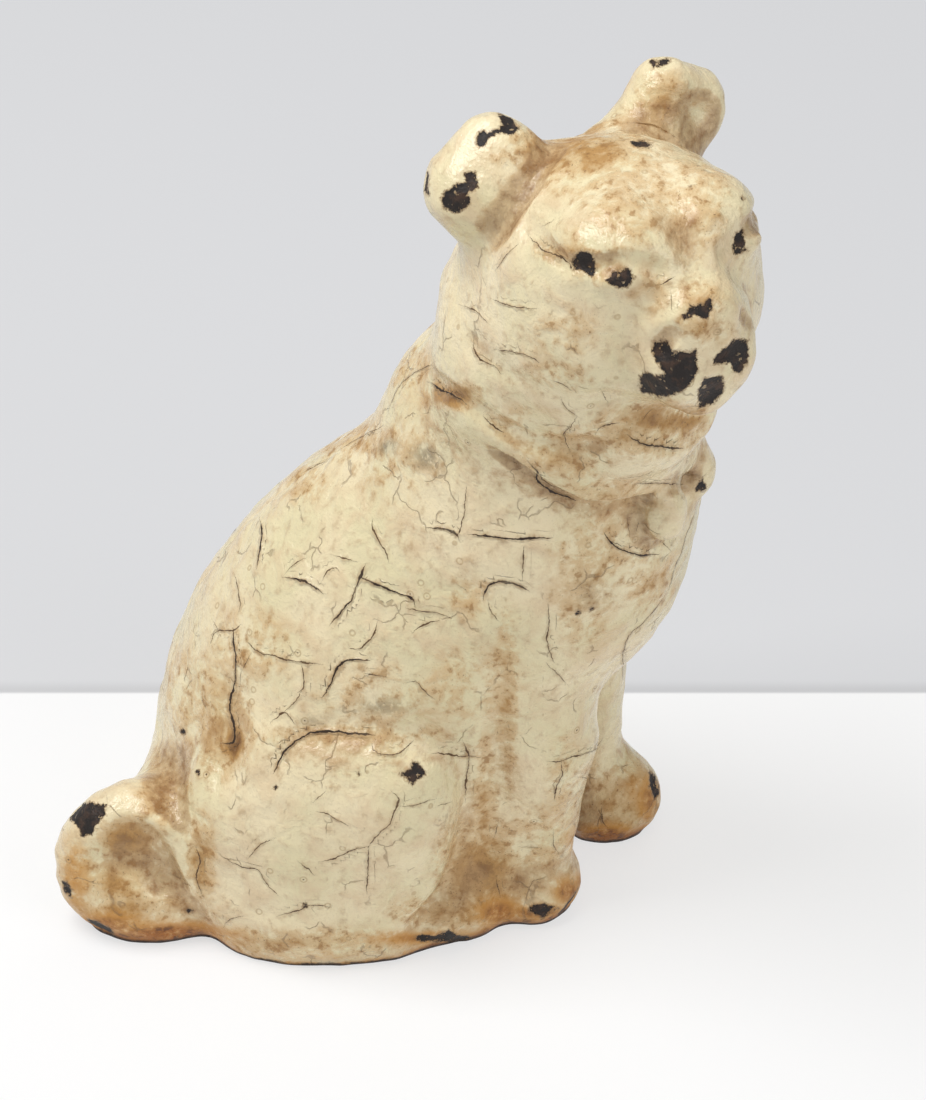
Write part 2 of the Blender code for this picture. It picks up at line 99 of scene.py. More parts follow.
LUG_AT = ((27.5, 89.5), (52.0, 48.5), (-39.0, 88.5))    # y and z of the lugs on back, rump and chest
LUG_RADIUS = 4.2
LUG_LENGTH = 9.0
PIN_RADIUS = 1.6
PIN_LENGTH = 3.0
SOCKET_RADIUS = 2.0
SOCKET_DEPTH = 3.6
REACH = 120.0                       # the cutting blocks are this large
OVERLAP = 4.0                       # a cutter passes its target's face by this much
FAR = 1000.0
CREASE_REACH = 3.0                  # a groove has faded out at this many times its width
BALL_SPACING = 0.4                  # the balls along a limb, as a share of their radius
SETTLE_ROUNDS = 4
PROBE = 0.1
LEAST_SLOPE = 0.3
LONGEST_STEP = 2.0

# Mesh sizes
SPHERE_SIDES = 20
ROUND_SIDES = 48
COARSE_VOXEL = 2.2
SKIN_VOXEL = 0.85
CORE_VOXEL = 1.7

# The photograph's camera, in the sculptor's frame
PHOTO_SIZE = (926, 1100)
AIM = np.array((-10.0, 0.0, 85.0))
STAND_OFF = 820.0
AZIMUTH = radians(8)
ELEVATION = radians(37)
LENS = 136.34
SENSOR = 36.0
FOCAL_PIXELS = LENS / SENSOR * PHOTO_SIZE[1]
BACK = np.array((-cos(ELEVATION) * cos(AZIMUTH), -cos(ELEVATION) * sin(AZIMUTH), sin(ELEVATION)))
RIGHT = np.array((sin(AZIMUTH), -cos(AZIMUTH), 0.0))
UP = np.cross(BACK, RIGHT)
EYE = AIM + STAND_OFF * BACK
MIRROR = np.array((-1.0, 1.0, 1.0))

# The castings' outside
CURVE_PROBE = 0.2                   # the slope out of the clay is measured over this much
OUTSIDE_REACH = 0.6                 # a point this near the clay's surface is on the outside
GRAZING = 0.06                      # a surface that faces the eye less than this isn't seen
RAY_LIFT = 1.2                      # a line of sight starts this far above the surface
LEAST_FACING = 0.3
FOLD_HEIGHTS = (1.2, 3.0, 8.0)      # how deep a fold is, is felt at these heights above the surface
RELIEF = ((11.0, 0.85), (4.5, 0.6), (2.2, 0.2))     # size and depth of the old enamel's lumps
SHARP_ANGLE = 50
SCREW_SHARP_ANGLE = 35

# Wear. Distances on the surface are in millimetres, those in the photograph in pixels
CRACK_NAMES = ("cracks_a", "cracks_b", "cracks_c", "cracks_d")
CRACK_LAYERS = len(CRACK_NAMES)
CLEAR_PIXELS = 20.0
OPEN_WIDTH = 0.23                   # half the width of an open crack
HAIR_WIDTH = 0.13                   # and of a hairline
CRACK_MARGIN = 3.0
CRACK_FADE = (0.9, 1.7)             # a crack's stained lips fade out between these distances
CRACK_BOX = 12.0
CRACK_END = 4.0                     # a crack has faded out this far past its ends
CRACK_TAPER = 12.0                  # and is at its full width this far before them
CRACK_STEPS = 4
CHIP_MARGIN = 4.0
CHIP_EDGE = (0.15, -0.45)           # the surface drops between these distances from a chip's edge
CHIP_SINK = 0.28
RAGGED = ((1.7, 1.2), (4.0, 1.6))   # size and depth of the bites in a chip's edge
SPOT_FALL = 0.8                     # how fast a soft spot fades towards its radius
FAR_FACING = 0.2
# The stains on the far flank carry painted shade as well
FAR_STRENGTH = 0.6                  # how strong the stains are on the side away from the camera
FAR_SHIFT = (41.0, -29.0)           # the far flank's cracks are moved this far from the mirrored ones
SEAM_DEPTH = 0.28
SEAM_REACH = 0.9
SEAM_TOP = 138.0
SEAM_FADE = 8.0
# Chips that the photograph doesn't show: x, y, z and radius
FAR_CHIPS = [(41.5, 30, 34, 3.0), (37, 10, 45, 2.2), (22, -31, 10, 3.0), (33, -6, 3, 3.2), (30, 52, 8, 3.4),
             (-2, 66, 40, 2.6), (31, -10, 100, 2.4), (8, 3, 131, 2.6)]

# Colours of the enamel, from clean to dirty, with the shade painted into its folds
CREAM, GREENISH_CREAM = (0.88, 0.755, 0.50), (0.80, 0.71, 0.445)
WARM_CREAM, SANDY_CREAM = (0.72, 0.535, 0.33), (0.60, 0.455, 0.27)
TAN, BROWN, DARK_BROWN = (0.64, 0.42, 0.19), (0.44, 0.225, 0.055), (0.17, 0.07, 0.018)
# Dust and grime, also laid into the folds as painted shade
DUST_AND_SHADE, GRIME_AND_SHADE = (0.50, 0.31, 0.14), (0.23, 0.115, 0.045)
SPECK, PIN = (0.34, 0.17, 0.05), (0.17, 0.085, 0.03)
RING, PINHOLE, GREYED = (0.42, 0.27, 0.12), (0.2, 0.12, 0.06), (0.27, 0.225, 0.14)
LIP, CRAZING = (0.42, 0.26, 0.12), (0.22, 0.13, 0.06)
HAIRLINE_INK, CRACK_INK = (0.13, 0.072, 0.03), (0.036, 0.018, 0.008)
ORANGE_RUST, RED_RUST, DARK_RUST = (0.60, 0.275, 0.04), (0.36, 0.12, 0.018), (0.15, 0.06, 0.022)
# And of the iron in chips, at the foot and inside
CHIP_RIM = (0.30, 0.185, 0.09)
BLACK_IRON, BROWN_IRON, FOOT_IRON = (0.014, 0.009, 0.007), (0.055, 0.028, 0.016), (0.035, 0.02, 0.014)
INNER_IRON = ((0.10, 0.05, 0.028), (0.055, 0.035, 0.026))
GLOSS = 0.45
# And of the screw
STEEL, STEEL_RUST, STEEL_GRIME = (0.12, 0.105, 0.095), (0.20, 0.085, 0.035), (0.07, 0.04, 0.025)

# Light and stage
# Each soft box: name, how far it stands up, right and back, distance, size and power
LAMPS = [("key", 1.0, -0.5, 0.05, 0.9, 0.55, 7.0), ("fill", 0.1, 0.75, 0.8, 1.0, 0.7, 2.8),
         ("rear", 0.9, 0.2, -0.6, 1.0, 0.7, 0.8)]
WORLD_STRENGTH = 0.27
FLOOR_REACH = 3.0
FLOOR_DROP = 0.2                    # the table lies this far under the foot
FLOOR_GLOW = 0.64
TABLE, FAR_TABLE = (0.90, 0.90, 0.90), (0.74, 0.745, 0.755)
TABLE_GLOW, FAR_TABLE_GLOW, WALL_FOOT_SHADE_GLOW = (1.0, 1.0, 1.0), (0.70, 0.705, 0.725), (0.45, 0.45, 0.46)
WALL_DEPTH = 60.5                   # the table turns greyer this far behind the middle of the view

# Marks on the enamel, each by its place in the photograph in pixels

# Outlines of the chips through which the black iron shows
CHIPS = [
    [(440, 194), (455, 184), (465, 181), (463, 173), (474, 170), (479, 188), (470, 190), (463, 196),
     (470, 200), (468, 209), (455, 214), (442, 209), (439, 200)],
    [(474, 143), (476, 129), (495, 127), (506, 122), (499, 110), (510, 110), (520, 127), (514, 132),
     (501, 129), (489, 135), (482, 146)],
    [(417, 179), (421, 169), (425, 175), (423, 186), (426, 196), (419, 190)],
    [(649, 59), (662, 55), (674, 55), (670, 59), (653, 64)],
    [(632, 139), (643, 136), (653, 139), (647, 143), (636, 142)],
    [(569, 264), (579, 253), (590, 255), (594, 270), (590, 276), (582, 270), (571, 268)],
    [(604, 279), (611, 270), (628, 268), (636, 276), (630, 289), (620, 291), (607, 285)],
    [(736, 247), (738, 234), (746, 228), (747, 243), (750, 253), (740, 257)],
    [(682, 319), (691, 306), (704, 304), (712, 297), (713, 310), (710, 321), (696, 314), (687, 319)],
    [(653, 346), (664, 344), (670, 352), (691, 355), (698, 352), (700, 374), (691, 386), (674, 397),
     (658, 399), (639, 395), (637, 378), (645, 374), (653, 378), (662, 378), (658, 365), (652, 361)],
    [(717, 359), (729, 348), (738, 341), (751, 340), (751, 361), (742, 376), (734, 374), (732, 363),
     (723, 365), (715, 365)],
    [(702, 393), (708, 381), (723, 380), (725, 395), (715, 407), (702, 412), (701, 403)],
    [(698, 488), (704, 481), (708, 486), (706, 494), (699, 494)],
    [(400, 775), (412, 770), (415, 760), (422, 765), (428, 775), (420, 778), (413, 787), (408, 778)],
    [(418, 938), (427, 937), (437, 940), (450, 933), (458, 938), (473, 940), (460, 945), (430, 945),
     (420, 943)],
    [(528, 910), (535, 907), (545, 905), (560, 910), (552, 913), (543, 922), (538, 917), (530, 915)],
    [(560, 917), (573, 903), (585, 887), (587, 895), (577, 907), (563, 918)],
    [(66, 808), (76, 800), (90, 801), (104, 804), (103, 816), (94, 825), (90, 836), (80, 838), (76, 826),
     (67, 818)],
    [(58, 883), (64, 884), (69, 892), (68, 899), (61, 893)],
    [(85, 923), (96, 925), (108, 931), (112, 939), (98, 937), (88, 930)],
    [(652, 770), (658, 776), (662, 793), (658, 800), (653, 786)],
]
# Small pits: x, y and radius
PITS = [(358, 774, 1.6), (578, 614, 2.2), (593, 612, 1.8), (180, 732, 2.4), (273, 788, 1.8),
        (195, 772, 1.8), (305, 908, 2.2), (189, 913, 2.4), (745, 196, 2), (690, 183, 1.6)]
# Patches where the enamel has gone grey: x, y, radius across and up, strength
GREY = [(385, 447, 8, 6, 0.9), (424, 458, 13, 12, 0.8), (592, 597, 17, 17, 0.3), (384, 708, 20, 7, 0.7),
        (312, 721, 12, 5, 0.5), (436, 470, 10, 8, 0.3)]
# Folds that get little of the painted shade and dirt: x, y, radius across and up, strength
FOLDS_KEPT_LIGHT = [(620, 350, 32, 62, 1.0), (560, 285, 60, 20, 0.9), (340, 712, 90, 20, 0.7), (655, 500, 24, 24, 0.7),
         (470, 270, 30, 60, 0.7), (240, 770, 30, 30, 0.5), (700, 350, 34, 40, 0.7), (652, 285, 30, 40, 0.8),
         (728, 280, 26, 50, 1.0), (545, 420, 60, 20, 0.5), (430, 650, 50, 46, 0.6)]
# Tan and brown stains, and painted shade under the chin and collar, in the tail's curl and beside the legs:
# x, y, radius across and up, strength
STAINS_AND_SHADE = [
    (575, 148, 62, 28, 0.9), (615, 168, 70, 30, 0.45), (664, 104, 26, 24, 0.9), (700, 200, 30, 40, 0.55),
    (640, 190, 50, 30, 0.5), (655, 285, 20, 34, 0.2), (625, 225, 40, 18, 0.35), (700, 300, 24, 18, 0.5),
    (664, 422, 38, 13, 1.4), (645, 440, 60, 20, 0.65), (452, 397, 24, 9, 1.5), (515, 425, 36, 16, 0.35),
    (598, 276, 22, 12, 0.5), (560, 336, 40, 28, 0.3), (600, 238, 44, 20, 0.35), (702, 332, 26, 14, 0.6),
    (570, 252, 30, 7, 0.8), (570, 460, 40, 22, 0.5),
    (602, 498, 36, 13, 0.75), (595, 560, 34, 40, 0.5), (650, 578, 30, 30, 0.5), (585, 605, 30, 40, 0.4),
    (400, 365, 26, 20, 0.5), (350, 440, 34, 16, 0.6), (300, 480, 22, 18, 0.45), (400, 455, 46, 40, 0.3),
    (470, 690, 56, 40, 0.3), (380, 700, 66, 36, 0.3), (250, 650, 40, 36, 0.35), (190, 700, 26, 46, 0.45),
    (233, 742, 8, 15, 1.9), (222, 728, 26, 40, 0.7), (484, 876, 30, 36, 1.4), (460, 915, 50, 14, 0.8),
    (506, 700, 10, 76, 0.6), (486, 800, 10, 50, 0.7),
    (350, 737, 76, 9, 0.6), (128, 845, 26, 18, 1.3), (115, 880, 44, 30, 0.8), (155, 800, 22, 14, 0.5),
    (130, 915, 60, 20, 0.8), (198, 865, 11, 40, 0.9),
    (300, 945, 120, 12, 0.6), (540, 850, 36, 40, 0.35), (566, 790, 20, 56, 0.3), (620, 810, 36, 40, 0.85),
    (165, 790, 18, 28, 0.8), (560, 380, 40, 18, 0.35), (540, 460, 30, 30, 0.4), (470, 600, 24, 24, 0.3),
]
# Orange rust: x, y, radius across and up, strength
RUST = [(572, 893, 18, 16, 0.9), (540, 914, 36, 9, 0.9), (430, 941, 56, 8, 0.8), (105, 928, 40, 14, 0.9),
        (165, 938, 60, 12, 1.1), (212, 946, 24, 9, 0.6), (652, 800, 13, 26, 0.8), (606, 842, 34, 13, 1.1),
        (300, 962, 90, 7, 0.35), (640, 790, 16, 22, 0.4), (74, 880, 16, 44, 0.6), (586, 884, 8, 14, 0.9),
        (500, 914, 24, 16, 0.9)]
# Stretches of the foot that the rust has spared: x, y, radius across and up, strength
SPARED = [(316, 958, 84, 26, 1.0), (548, 880, 20, 14, 0.5)]
# Cracks that stand open, and hairlines
OPEN_CRACKS = [
    [(230, 630), (231, 643), (233, 660), (232, 683), (227, 707), (232, 723), (232, 742), (221, 743)],
    [(258, 518), (260, 530), (258, 547), (255, 567)],
    [(425, 382), (446, 393), (462, 404)],
    [(630, 437), (645, 445), (670, 448), (685, 449)],
    [(360, 579), (377, 587), (393, 594), (410, 600), (413, 607)],
    [(363, 565), (358, 577), (352, 590), (350, 600), (343, 608), (329, 625)],
    [(468, 536), (490, 539), (513, 541), (552, 539)],
    [(425, 529), (440, 530), (455, 536), (458, 542)],
    [(322, 697), (330, 685), (334, 672), (343, 663), (353, 661), (368, 662)],
    [(273, 772), (283, 753), (297, 740), (313, 733), (337, 732), (373, 735)],
    [(607, 537), (615, 547), (628, 553), (643, 557), (660, 556)],
    [(527, 465), (535, 475), (538, 485), (555, 497), (577, 503)],
    [(425, 334), (432, 325)],
    [(482, 602), (488, 587), (503, 584), (518, 588), (530, 595)],
    [(282, 577), (290, 578), (307, 583), (322, 595)],
]
HAIRLINES = [
    [(231, 575), (234, 587), (237, 603), (236, 612)],
    [(370, 520), (371, 530), (378, 543), (384, 553), (386, 563)],
    [(456, 535), (459, 527), (462, 513), (464, 488)], [(405, 610), (420, 613), (435, 615), (448, 620)],
    [(238, 625), (230, 630), (220, 630), (212, 633), (207, 645)], [(210, 620), (215, 630)],
    [(245, 642), (255, 652), (273, 657), (290, 662), (320, 665)],
    [(300, 665), (302, 677), (303, 688), (297, 693)], [(283, 573), (293, 563), (303, 558)],
    [(320, 580), (327, 570), (333, 568), (338, 573)], [(488, 603), (490, 613), (498, 623)],
    [(548, 608), (550, 627), (548, 643), (552, 657), (556, 665)], [(549, 667), (558, 675), (569, 687)],
    [(372, 745), (377, 753), (397, 753), (413, 743)], [(435, 754), (447, 755), (467, 760), (482, 762)],
    [(463, 745), (467, 755), (470, 767), (468, 783), (467, 802)],
    [(547, 764), (563, 763), (578, 758), (597, 752), (605, 740)],
    [(563, 764), (563, 777), (558, 787), (555, 802)], [(407, 684), (415, 683), (423, 692), (433, 700)],
    [(313, 803), (323, 793)], [(392, 792), (400, 800), (395, 813), (390, 827), (377, 838), (368, 850)],
    [(368, 850), (368, 863), (367, 895)], [(368, 850), (350, 853), (337, 860), (320, 864)],
    [(402, 808), (417, 807), (437, 800)], [(440, 808), (453, 803)], [(247, 860), (257, 848), (272, 841)],
    [(223, 860), (240, 870), (257, 873), (263, 883), (276, 897)], [(298, 863), (307, 870), (314, 878)],
    [(222, 929), (227, 922), (240, 919)], [(277, 919), (297, 913), (310, 908), (330, 910)],
    [(317, 813), (330, 818), (347, 828)], [(195, 850), (198, 863), (195, 880), (202, 900)],
    [(495, 838), (498, 827)], [(555, 835), (555, 847), (560, 855)], [(520, 851), (543, 851)],
    [(498, 880), (502, 897)], [(602, 810), (602, 823), (607, 830)], [(268, 723), (282, 713), (293, 723)],
    [(282, 713), (293, 703), (300, 693)], [(240, 670), (248, 655)], [(330, 555), (343, 558), (353, 562)],
    [(347, 650), (360, 650), (372, 637), (376, 622)], [(413, 633), (423, 627), (437, 623)],
    [(455, 585), (465, 593)], [(523, 550), (522, 582)], [(363, 675), (383, 678)], [(582, 780), (597, 780)],
    [(457, 305), (470, 310), (484, 324)], [(487, 299), (506, 307), (535, 310)],
    [(470, 338), (470, 350), (478, 361), (491, 367), (497, 374)],
    [(491, 352), (506, 352), (527, 359), (537, 366)], [(480, 416), (491, 426), (503, 433)],
    [(550, 383), (563, 388), (569, 393)], [(560, 401), (565, 412), (579, 422)],
    [(575, 422), (569, 431), (563, 437), (568, 452)], [(596, 437), (603, 429), (620, 425)],
    [(636, 488), (662, 486), (683, 483)], [(601, 393), (607, 403)],
    [(527, 234), (539, 247), (554, 255), (567, 264)], [(539, 226), (550, 217)],
    [(491, 270), (503, 255), (514, 245)], [(438, 289), (440, 298)], [(658, 285), (674, 277)],
    [(670, 293), (670, 310)], [(630, 521), (632, 538)], [(611, 543), (628, 549)], [(664, 543), (672, 551)],
    [(430, 362), (400, 380), (385, 410)], [(378, 425), (350, 440), (330, 452), (300, 470)],
    [(698, 512), (685, 550), (672, 595)], [(667, 602), (645, 625), (628, 645), (625, 680)],
]


def turn_x(degrees):
    c, s = cos(radians(degrees)), sin(radians(degrees))
    return np.array([[1, 0, 0], [0, c, -s], [0, s, c]])


def turn_z(degrees):
    c, s = cos(radians(degrees)), sin(radians(degrees))
    return np.array([[c, -s, 0], [s, c, 0], [0, 0, 1]])


def soft_curve(points, closed, steps=3):
    """Points along a smooth curve through the given ones."""
    knots = [np.array(p, float) for p in points]
    count = len(knots)
    curve = []
    for i in range(count if closed else count - 1):
        near = [knots[(i + k) % count] if closed else knots[min(max(i + k, 0), count - 1)]
                for k in (-1, 0, 1, 2)]
        for j in range(steps):
            t = j / steps
            rise = near[2] - near[0]
            bend = 2 * near[0] - 5 * near[1] + 4 * near[2] - near[3]
            twist = 3 * near[1] - near[0] - 3 * near[2] + near[3]
            curve.append(0.5 * (2 * near[1] + rise * t + bend * t * t + twist * t ** 3))
    curve.append(curve[0] if closed else knots[-1])
    return curve


class Clay:
    """Lumps pressed together one after another, each with a soft join to those before it."""

    def __init__(self):
        self.lumps = []
        self.origin = np.zeros(3)
        self.turn = np.eye(3)

    def place(self, origin=(0, 0, 0), turn=np.eye(3)):
        """Later lumps are given in a frame with this origin and turn."""
        self.origin = np.array(origin, float)
        self.turn = turn

    def point(self, p):
        return self.origin + self.turn @ np.array(p, float)

    def add(self, kind, chain, reach, **details):
        """Keeps a lump, with a ball around it outside of which it can be left out of sums."""
        middle = np.mean([p for p, _ in chain], axis=0)
        farthest = max(np.linalg.norm(p - middle) + radius for p, radius in chain)
        self.lumps.append({"kind": kind, "chain": chain, "middle": middle, "reach": farthest + reach,
                           "hollow": False, "scoop": False, **details})

    def ball(self, centre, radii, join, tilt=0, hollow=False, scoop=False):
        """An ellipsoid. A hollow one has the core inside it, and a scoop takes clay away."""
        self.add("ball", [(self.point(centre), max(radii))], join, radii=np.array(radii, float),
                 axes=self.turn @ turn_x(tilt), join=join, hollow=hollow, scoop=scoop)

    def limb(self, points, join, hollow=False):
        """A chain of (x, y, z, radius), tapered from each point to the next."""
        self.add("limb", [(self.point(p[:3]), p[3]) for p in points], join, join=join, hollow=hollow)

    def crease(self, points, width, depth):
        """A soft groove along a line."""
        chain = [(self.point(p), 0.0) for p in points]
        self.add("crease", chain, CREASE_REACH * width, width=width, depth=depth)


def ball_distance(p, lump):
    local = (p - lump["middle"]) @ lump["axes"]
    radii = lump["radii"]
    scaled = np.sqrt(((local / radii) ** 2).sum(-1))
    slope = np.sqrt(((local / radii ** 2) ** 2).sum(-1))
    return scaled * (scaled - 1) / np.maximum(slope, 1e-9)


def chain_distance(p, lump):
    """Distance to the nearest segment's surface, with the radius running from end to end."""
    nearest = np.full(len(p), 1e9)
    for (a, a_radius), (b, b_radius) in zip(lump["chain"][:-1], lump["chain"][1:]):
        along = b - a
        t = np.clip(((p - a) @ along) / (along @ along), 0, 1)
        away = np.sqrt(((p - a - t[:, None] * along) ** 2).sum(-1))
        nearest = np.minimum(nearest, away - (a_radius + (b_radius - a_radius) * t))
    return nearest


def soft_min(a, b, join):
    overlap = np.maximum(join - np.abs(a - b), 0) / join
    return np.minimum(a, b) - overlap * overlap * join / 4


def surface_distance(p, lumps):
    """Distance from the clay's surface, negative inside."""
    d = np.full(len(p), FAR)
    for lump in lumps:
        away = np.sqrt(((p - lump["middle"]) ** 2).sum(-1)) - lump["reach"]
        near = np.flatnonzero(away < (0 if lump["kind"] == "crease" or lump["scoop"] else d))
        if not len(near):
            continue
        if lump["kind"] == "crease":
            d[near] += lump["depth"] * np.exp(-(chain_distance(p[near], lump) / lump["width"]) ** 2)
            continue
        own = (ball_distance if lump["kind"] == "ball" else chain_distance)(p[near], lump)
        if lump["scoop"]:
            d[near] = -soft_min(-d[near], own, lump["join"])
        else:
            d[near] = soft_min(d[near], own, lump["join"])
    return d


def on_side(side, points):
    """The same points on the pup's left (1) or right (-1)."""
    return [(side * p[0], *p[1:]) for p in points]


def model_trunk(clay):
    clay.ball((0, 30, 26), (36, 36, 50), 8, hollow=True)
    clay.ball((0, 12, 62), (32, 36, 42), 18, tilt=12, hollow=True)
    clay.ball((0, -12, 86), (30, 33, 38), 14, hollow=True)
    clay.limb([(0, -16, 108, 27), (-6.5, -19, 141, 24.8)], 16, hollow=True)
    clay.ball((2, 4, 112), (15, 10, 12), 10)
    clay.ball((-16, -33, 131), (20, 17, 16), 10)
    clay.ball((-20, -14, 134), (13, 16, 16), 10)
    for side in (-1, 1):
        clay.limb(on_side(side, [(12, 0, 60, 19), (12, -2, 30, 16), (12, -3, 10, 15)]), 9, hollow=True)


def model_hind_legs(clay):
    for side in (-1, 1):
        clay.ball((side * 30, 27, 24), (15, 29, 31), 7, hollow=True)
        clay.ball((side * 31, 11, 40), (10.5, 10, 12.5), 12)
        clay.ball((side * 29, 32, 8), (15, 23, 16), 8, hollow=True)
        clay.limb(on_side(side, [(28, 12, 5.5, 9.5), (23.5, -1, 5, 9)]), 8)
        # The thigh's edge, over its top and down its front
        clay.crease(on_side(side, [(40, 37, 45), (36, 29.5, 54), (35, 22, 57), (35.5, 14, 57.5),
                                   (36, 5, 56.5), (34.5, -2, 52.5)]), 2.6, 0.8)
        clay.crease(on_side(side, [(36, 5, 56.5), (34.5, -2, 52.5), (33, -5.5, 44.5), (31.5, -5.5, 34.5),
                                   (31.5, -4, 24), (33.5, -0.5, 15.5), (37, 4, 9.5)]), 3.0, 2.4)
        clay.crease(on_side(side, [(31, -3, 51), (30.5, -4, 44.5), (29.5, -4, 37.5), (29, -3.5, 29),
                                   (30, -2, 21.5), (32, 0.5, 15.5), (35.5, 4, 12)]), 1.5, 1.1)
        # The fold above the hip
        clay.crease(on_side(side, [(26, 44.5, 57), (29, 43.5, 52), (33, 43.5, 46)]), 3.2, 0.9)


def model_front_legs(clay):
    clay.limb([(-16, -9, 80, 15), (-16, -17, 45, 12), (-13.5, -15.3, 17, 9)], 5)
    clay.ball((-14, -16, 5), (12, 10, 8.5), 5)
    clay.limb([(14, -12, 78, 15), (14.5, -20, 45, 11.5), (12.5, -21, 14, 9.5)], 5)
    clay.ball((12.5, -27, 7), (11.5, 12.6, 11.5), 6)
    for side in (-1, 1):
        clay.crease(on_side(side, [(33, -11, 80), (32, -9.5, 62), (29, -8.5, 42), (27, -8.5, 20)]), 2.8, 1.9)


def model_tail(clay):
    clay.limb([(-12, 56, 20, 11), (-27, 62, 24, 8.5)], 6)
    clay.place(TAIL_AT)
    clay.ball((2, -2, -7), (12.5, 14, 14), 6)
    curl = [(4, -15, -4), (1, -7, 8), (0, 1, 12.5), (-1, 8.5, 5), (-2, 8.5, -5), (-2, 1, -9), (-1, -9, -9)]
    clay.limb([(*p, TAIL_RADIUS) for p in soft_curve(curl, closed=False)], 5)
    clay.ball((-2, 4, -5), (6, 8, 8), 5)
    clay.place()
    # The ridge where the curl comes out of the rump, and the hollow beside it
    clay.crease([(-37.5, 59.5, 31), (-37.5, 56.5, 29), (-38, 54.5, 26), (-39, 53, 22), (-40, 51.5, 18.5),
                 (-40, 50, 16)], 3.0, -1.4)
    clay.crease([(-38.5, 64.5, 28), (-38, 61.5, 27.5), (-38, 59.5, 25), (-38, 58.5, 21), (-38.5, 57.5, 16.5)],
                3.0, 1.8)


def around_neck(sink, lift):
    """The collar's line, drawn in towards the neck and lifted by these lengths."""
    line = [(-4, 4, 130), (-16, 3, 132), (-27, -4, 133), (-33, -12, 130), (-34, -20, 124),
            (-32.5, -27, 120), (-28, -35, 118), (-18, -42, 115), (-5, -45.5, 113), (9, -43, 114),
            (20, -35, 117), (26, -24, 121), (26, -12, 126), (17, -2, 129), (6, 3, 130)]
    points = []
    for x, y, z in soft_curve(line, closed=True):
        out = np.array((x - COLLAR_AXIS[0], y - COLLAR_AXIS[1]))
        x, y = (x, y) - out * sink / np.hypot(*out)
        points.append((x, y, z + lift))
    return points


def model_collar(clay):
    for lift in (-COLLAR_SPREAD, COLLAR_SPREAD):
        clay.limb([(*p, COLLAR_RADIUS) for p in around_neck(COLLAR_SINK, lift)], 2.5)
    # The collar stands proud of the chest below it, and of the neck and throat above
    clay.crease(around_neck(COLLAR_GROOVE_SINK, -COLLAR_EDGE), 2.0, 1.7)
    clay.crease([(-21, 4, 132), (-25.5, 2, 133.5), (-29.5, -1, 134), (-32.5, -6.5, 133.5),
                 (-34, -11.5, 131.5), (-35.5, -16, 130), (-36, -21.5, 129.5), (-36, -27.5, 130.5)], 2.0, 2.0)
    clay.crease([(6, 3, 137), (17, -2, 136), (25, -12, 133), (25, -24, 128), (19, -35, 124),
                 (9, -42, 121)], 2.2, 1.1)
    # A round bell, and the end of the strap beside it
    clay.ball((-19.5, -40, 105.7), (5.6, 5.6, 7), 1.5)
    clay.ball((-4, -45.5, 105), (5, 4, 6), 3)


def model_head(clay):
    """In the head's own frame X is to the pup's right, Y is forward and Z is up."""
    clay.place(HEAD_AT, turn_z(180 - HEAD_YAW) @ turn_x(HEAD_PITCH))
    clay.ball((0, -4, 0), (26, 29, 25), 8, hollow=True)
    clay.ball((0, -4, -11), (24, 20, 17), 10)
    clay.ball((0, 17, 5), (10, 9.5, 10), 7)
    clay.ball((-1.8, 18, -6.5), (10.5, 12.5, 12), 5)
    clay.ball((0, 22, -2), (10, 8.5, 6), 5)
    clay.ball((0, 27.5, 0.5), (6.5, 3.5, 4), 5)
    clay.ball((-2, 19, -18), (6.5, 6.5, 5.5), 4)
    for side in (-1, 1):
        clay.ball((side * 5.5 - 0.8, 20, -11), (6, 9.5, 8), 4)
        clay.ball((side * 9.5, 13, 11.5), (9.5, 9.5, 8), 8)
        clay.ball((side * 12.7, 20.8, 8.2), (4.2, 2.4, 2.8), 2)
        # The eyelid, the corner of the nose, the edge of the lip and the roll of the jaw
        clay.crease(on_side(side, [(21.5, -2, 16), (21, 7, 13), (20, 14, 10.5), (16, 20.5, 11),
                                   (12, 23.5, 11.5), (7, 25, 9)]), 1.6, 1.25)
        clay.crease(on_side(side, [(9, 24.5, 5), (12, 22, 1), (13, 20, -5), (12.5, 19, -12),
                                   (9.5, 21, -17)]), 2.4, 0.8)
        clay.crease(on_side(side, [(7, 28.5, -2), (9, 26, -5)]), 1.6, 0.8)
        clay.crease(on_side(side, [(28, -11.5, -10), (27, -3, -14), (21, 8.5, -17.5),
                                   (10, 15, -21.5)]), 2.4, 0.4)
        clay.crease(on_side(side, [(10, -9, 23), (17, -4.5, 19), (22, -5.5, 13.5), (25, -11.5, 9)]), 2.2, 1.1)
    clay.crease([(0, 16, 23), (0, 21.5, 16), (0, 25, 10.5)], 3.2, 1.3)
    clay.crease([(0, 31, -3), (0, 32, -12), (0, 30, -18)], 1.6, 1.1)
    model_ears(clay)
    clay.place()
    # The throat falls back under the edge of the jaw, down to the collar
    clay.crease([(-41, -32.5, 142.5), (-39.5, -36.5, 140), (-36.5, -40.5, 138), (-32, -45, 135.5),
                 (-28, -48, 134)], 4.4, 4.2)
    clay.crease([(-38.5, -32, 136), (-37.5, -35, 135), (-35.5, -38.5, 133), (-33, -42, 130.5),
                 (-29, -45.5, 128.5), (-25, -47.5, 127.5)], 2.0, 1.6)


def model_ears(clay):
    clay.limb([(12, -18, 16, 9), (17, -17, 24, 5.5)], 5)
    clay.limb([(14, -19, 5, 9), (20.5, -18, 15.5, 9)], 6)
    clay.limb([(21.5, -18, 18, 8.8), (17, -17, 24.4, 5.6)], 5)
    clay.limb([(-12, -18, 16, 9), (-18, -17, 25, 6)], 5)
    clay.limb([(-14, -20, 8, 8), (-22, -18, 20, 7.6)], 6)
    clay.limb([(-24.2, -18, 22, 7.8), (-19.5, -17, 26.6, 5.8)], 5)
    clay.ball((15, -13, 19), (6.5, 6, 8), 4)
    clay.ball((-23.5, -8, 22), (2.8, 2.5, 3), 5, scoop=True)


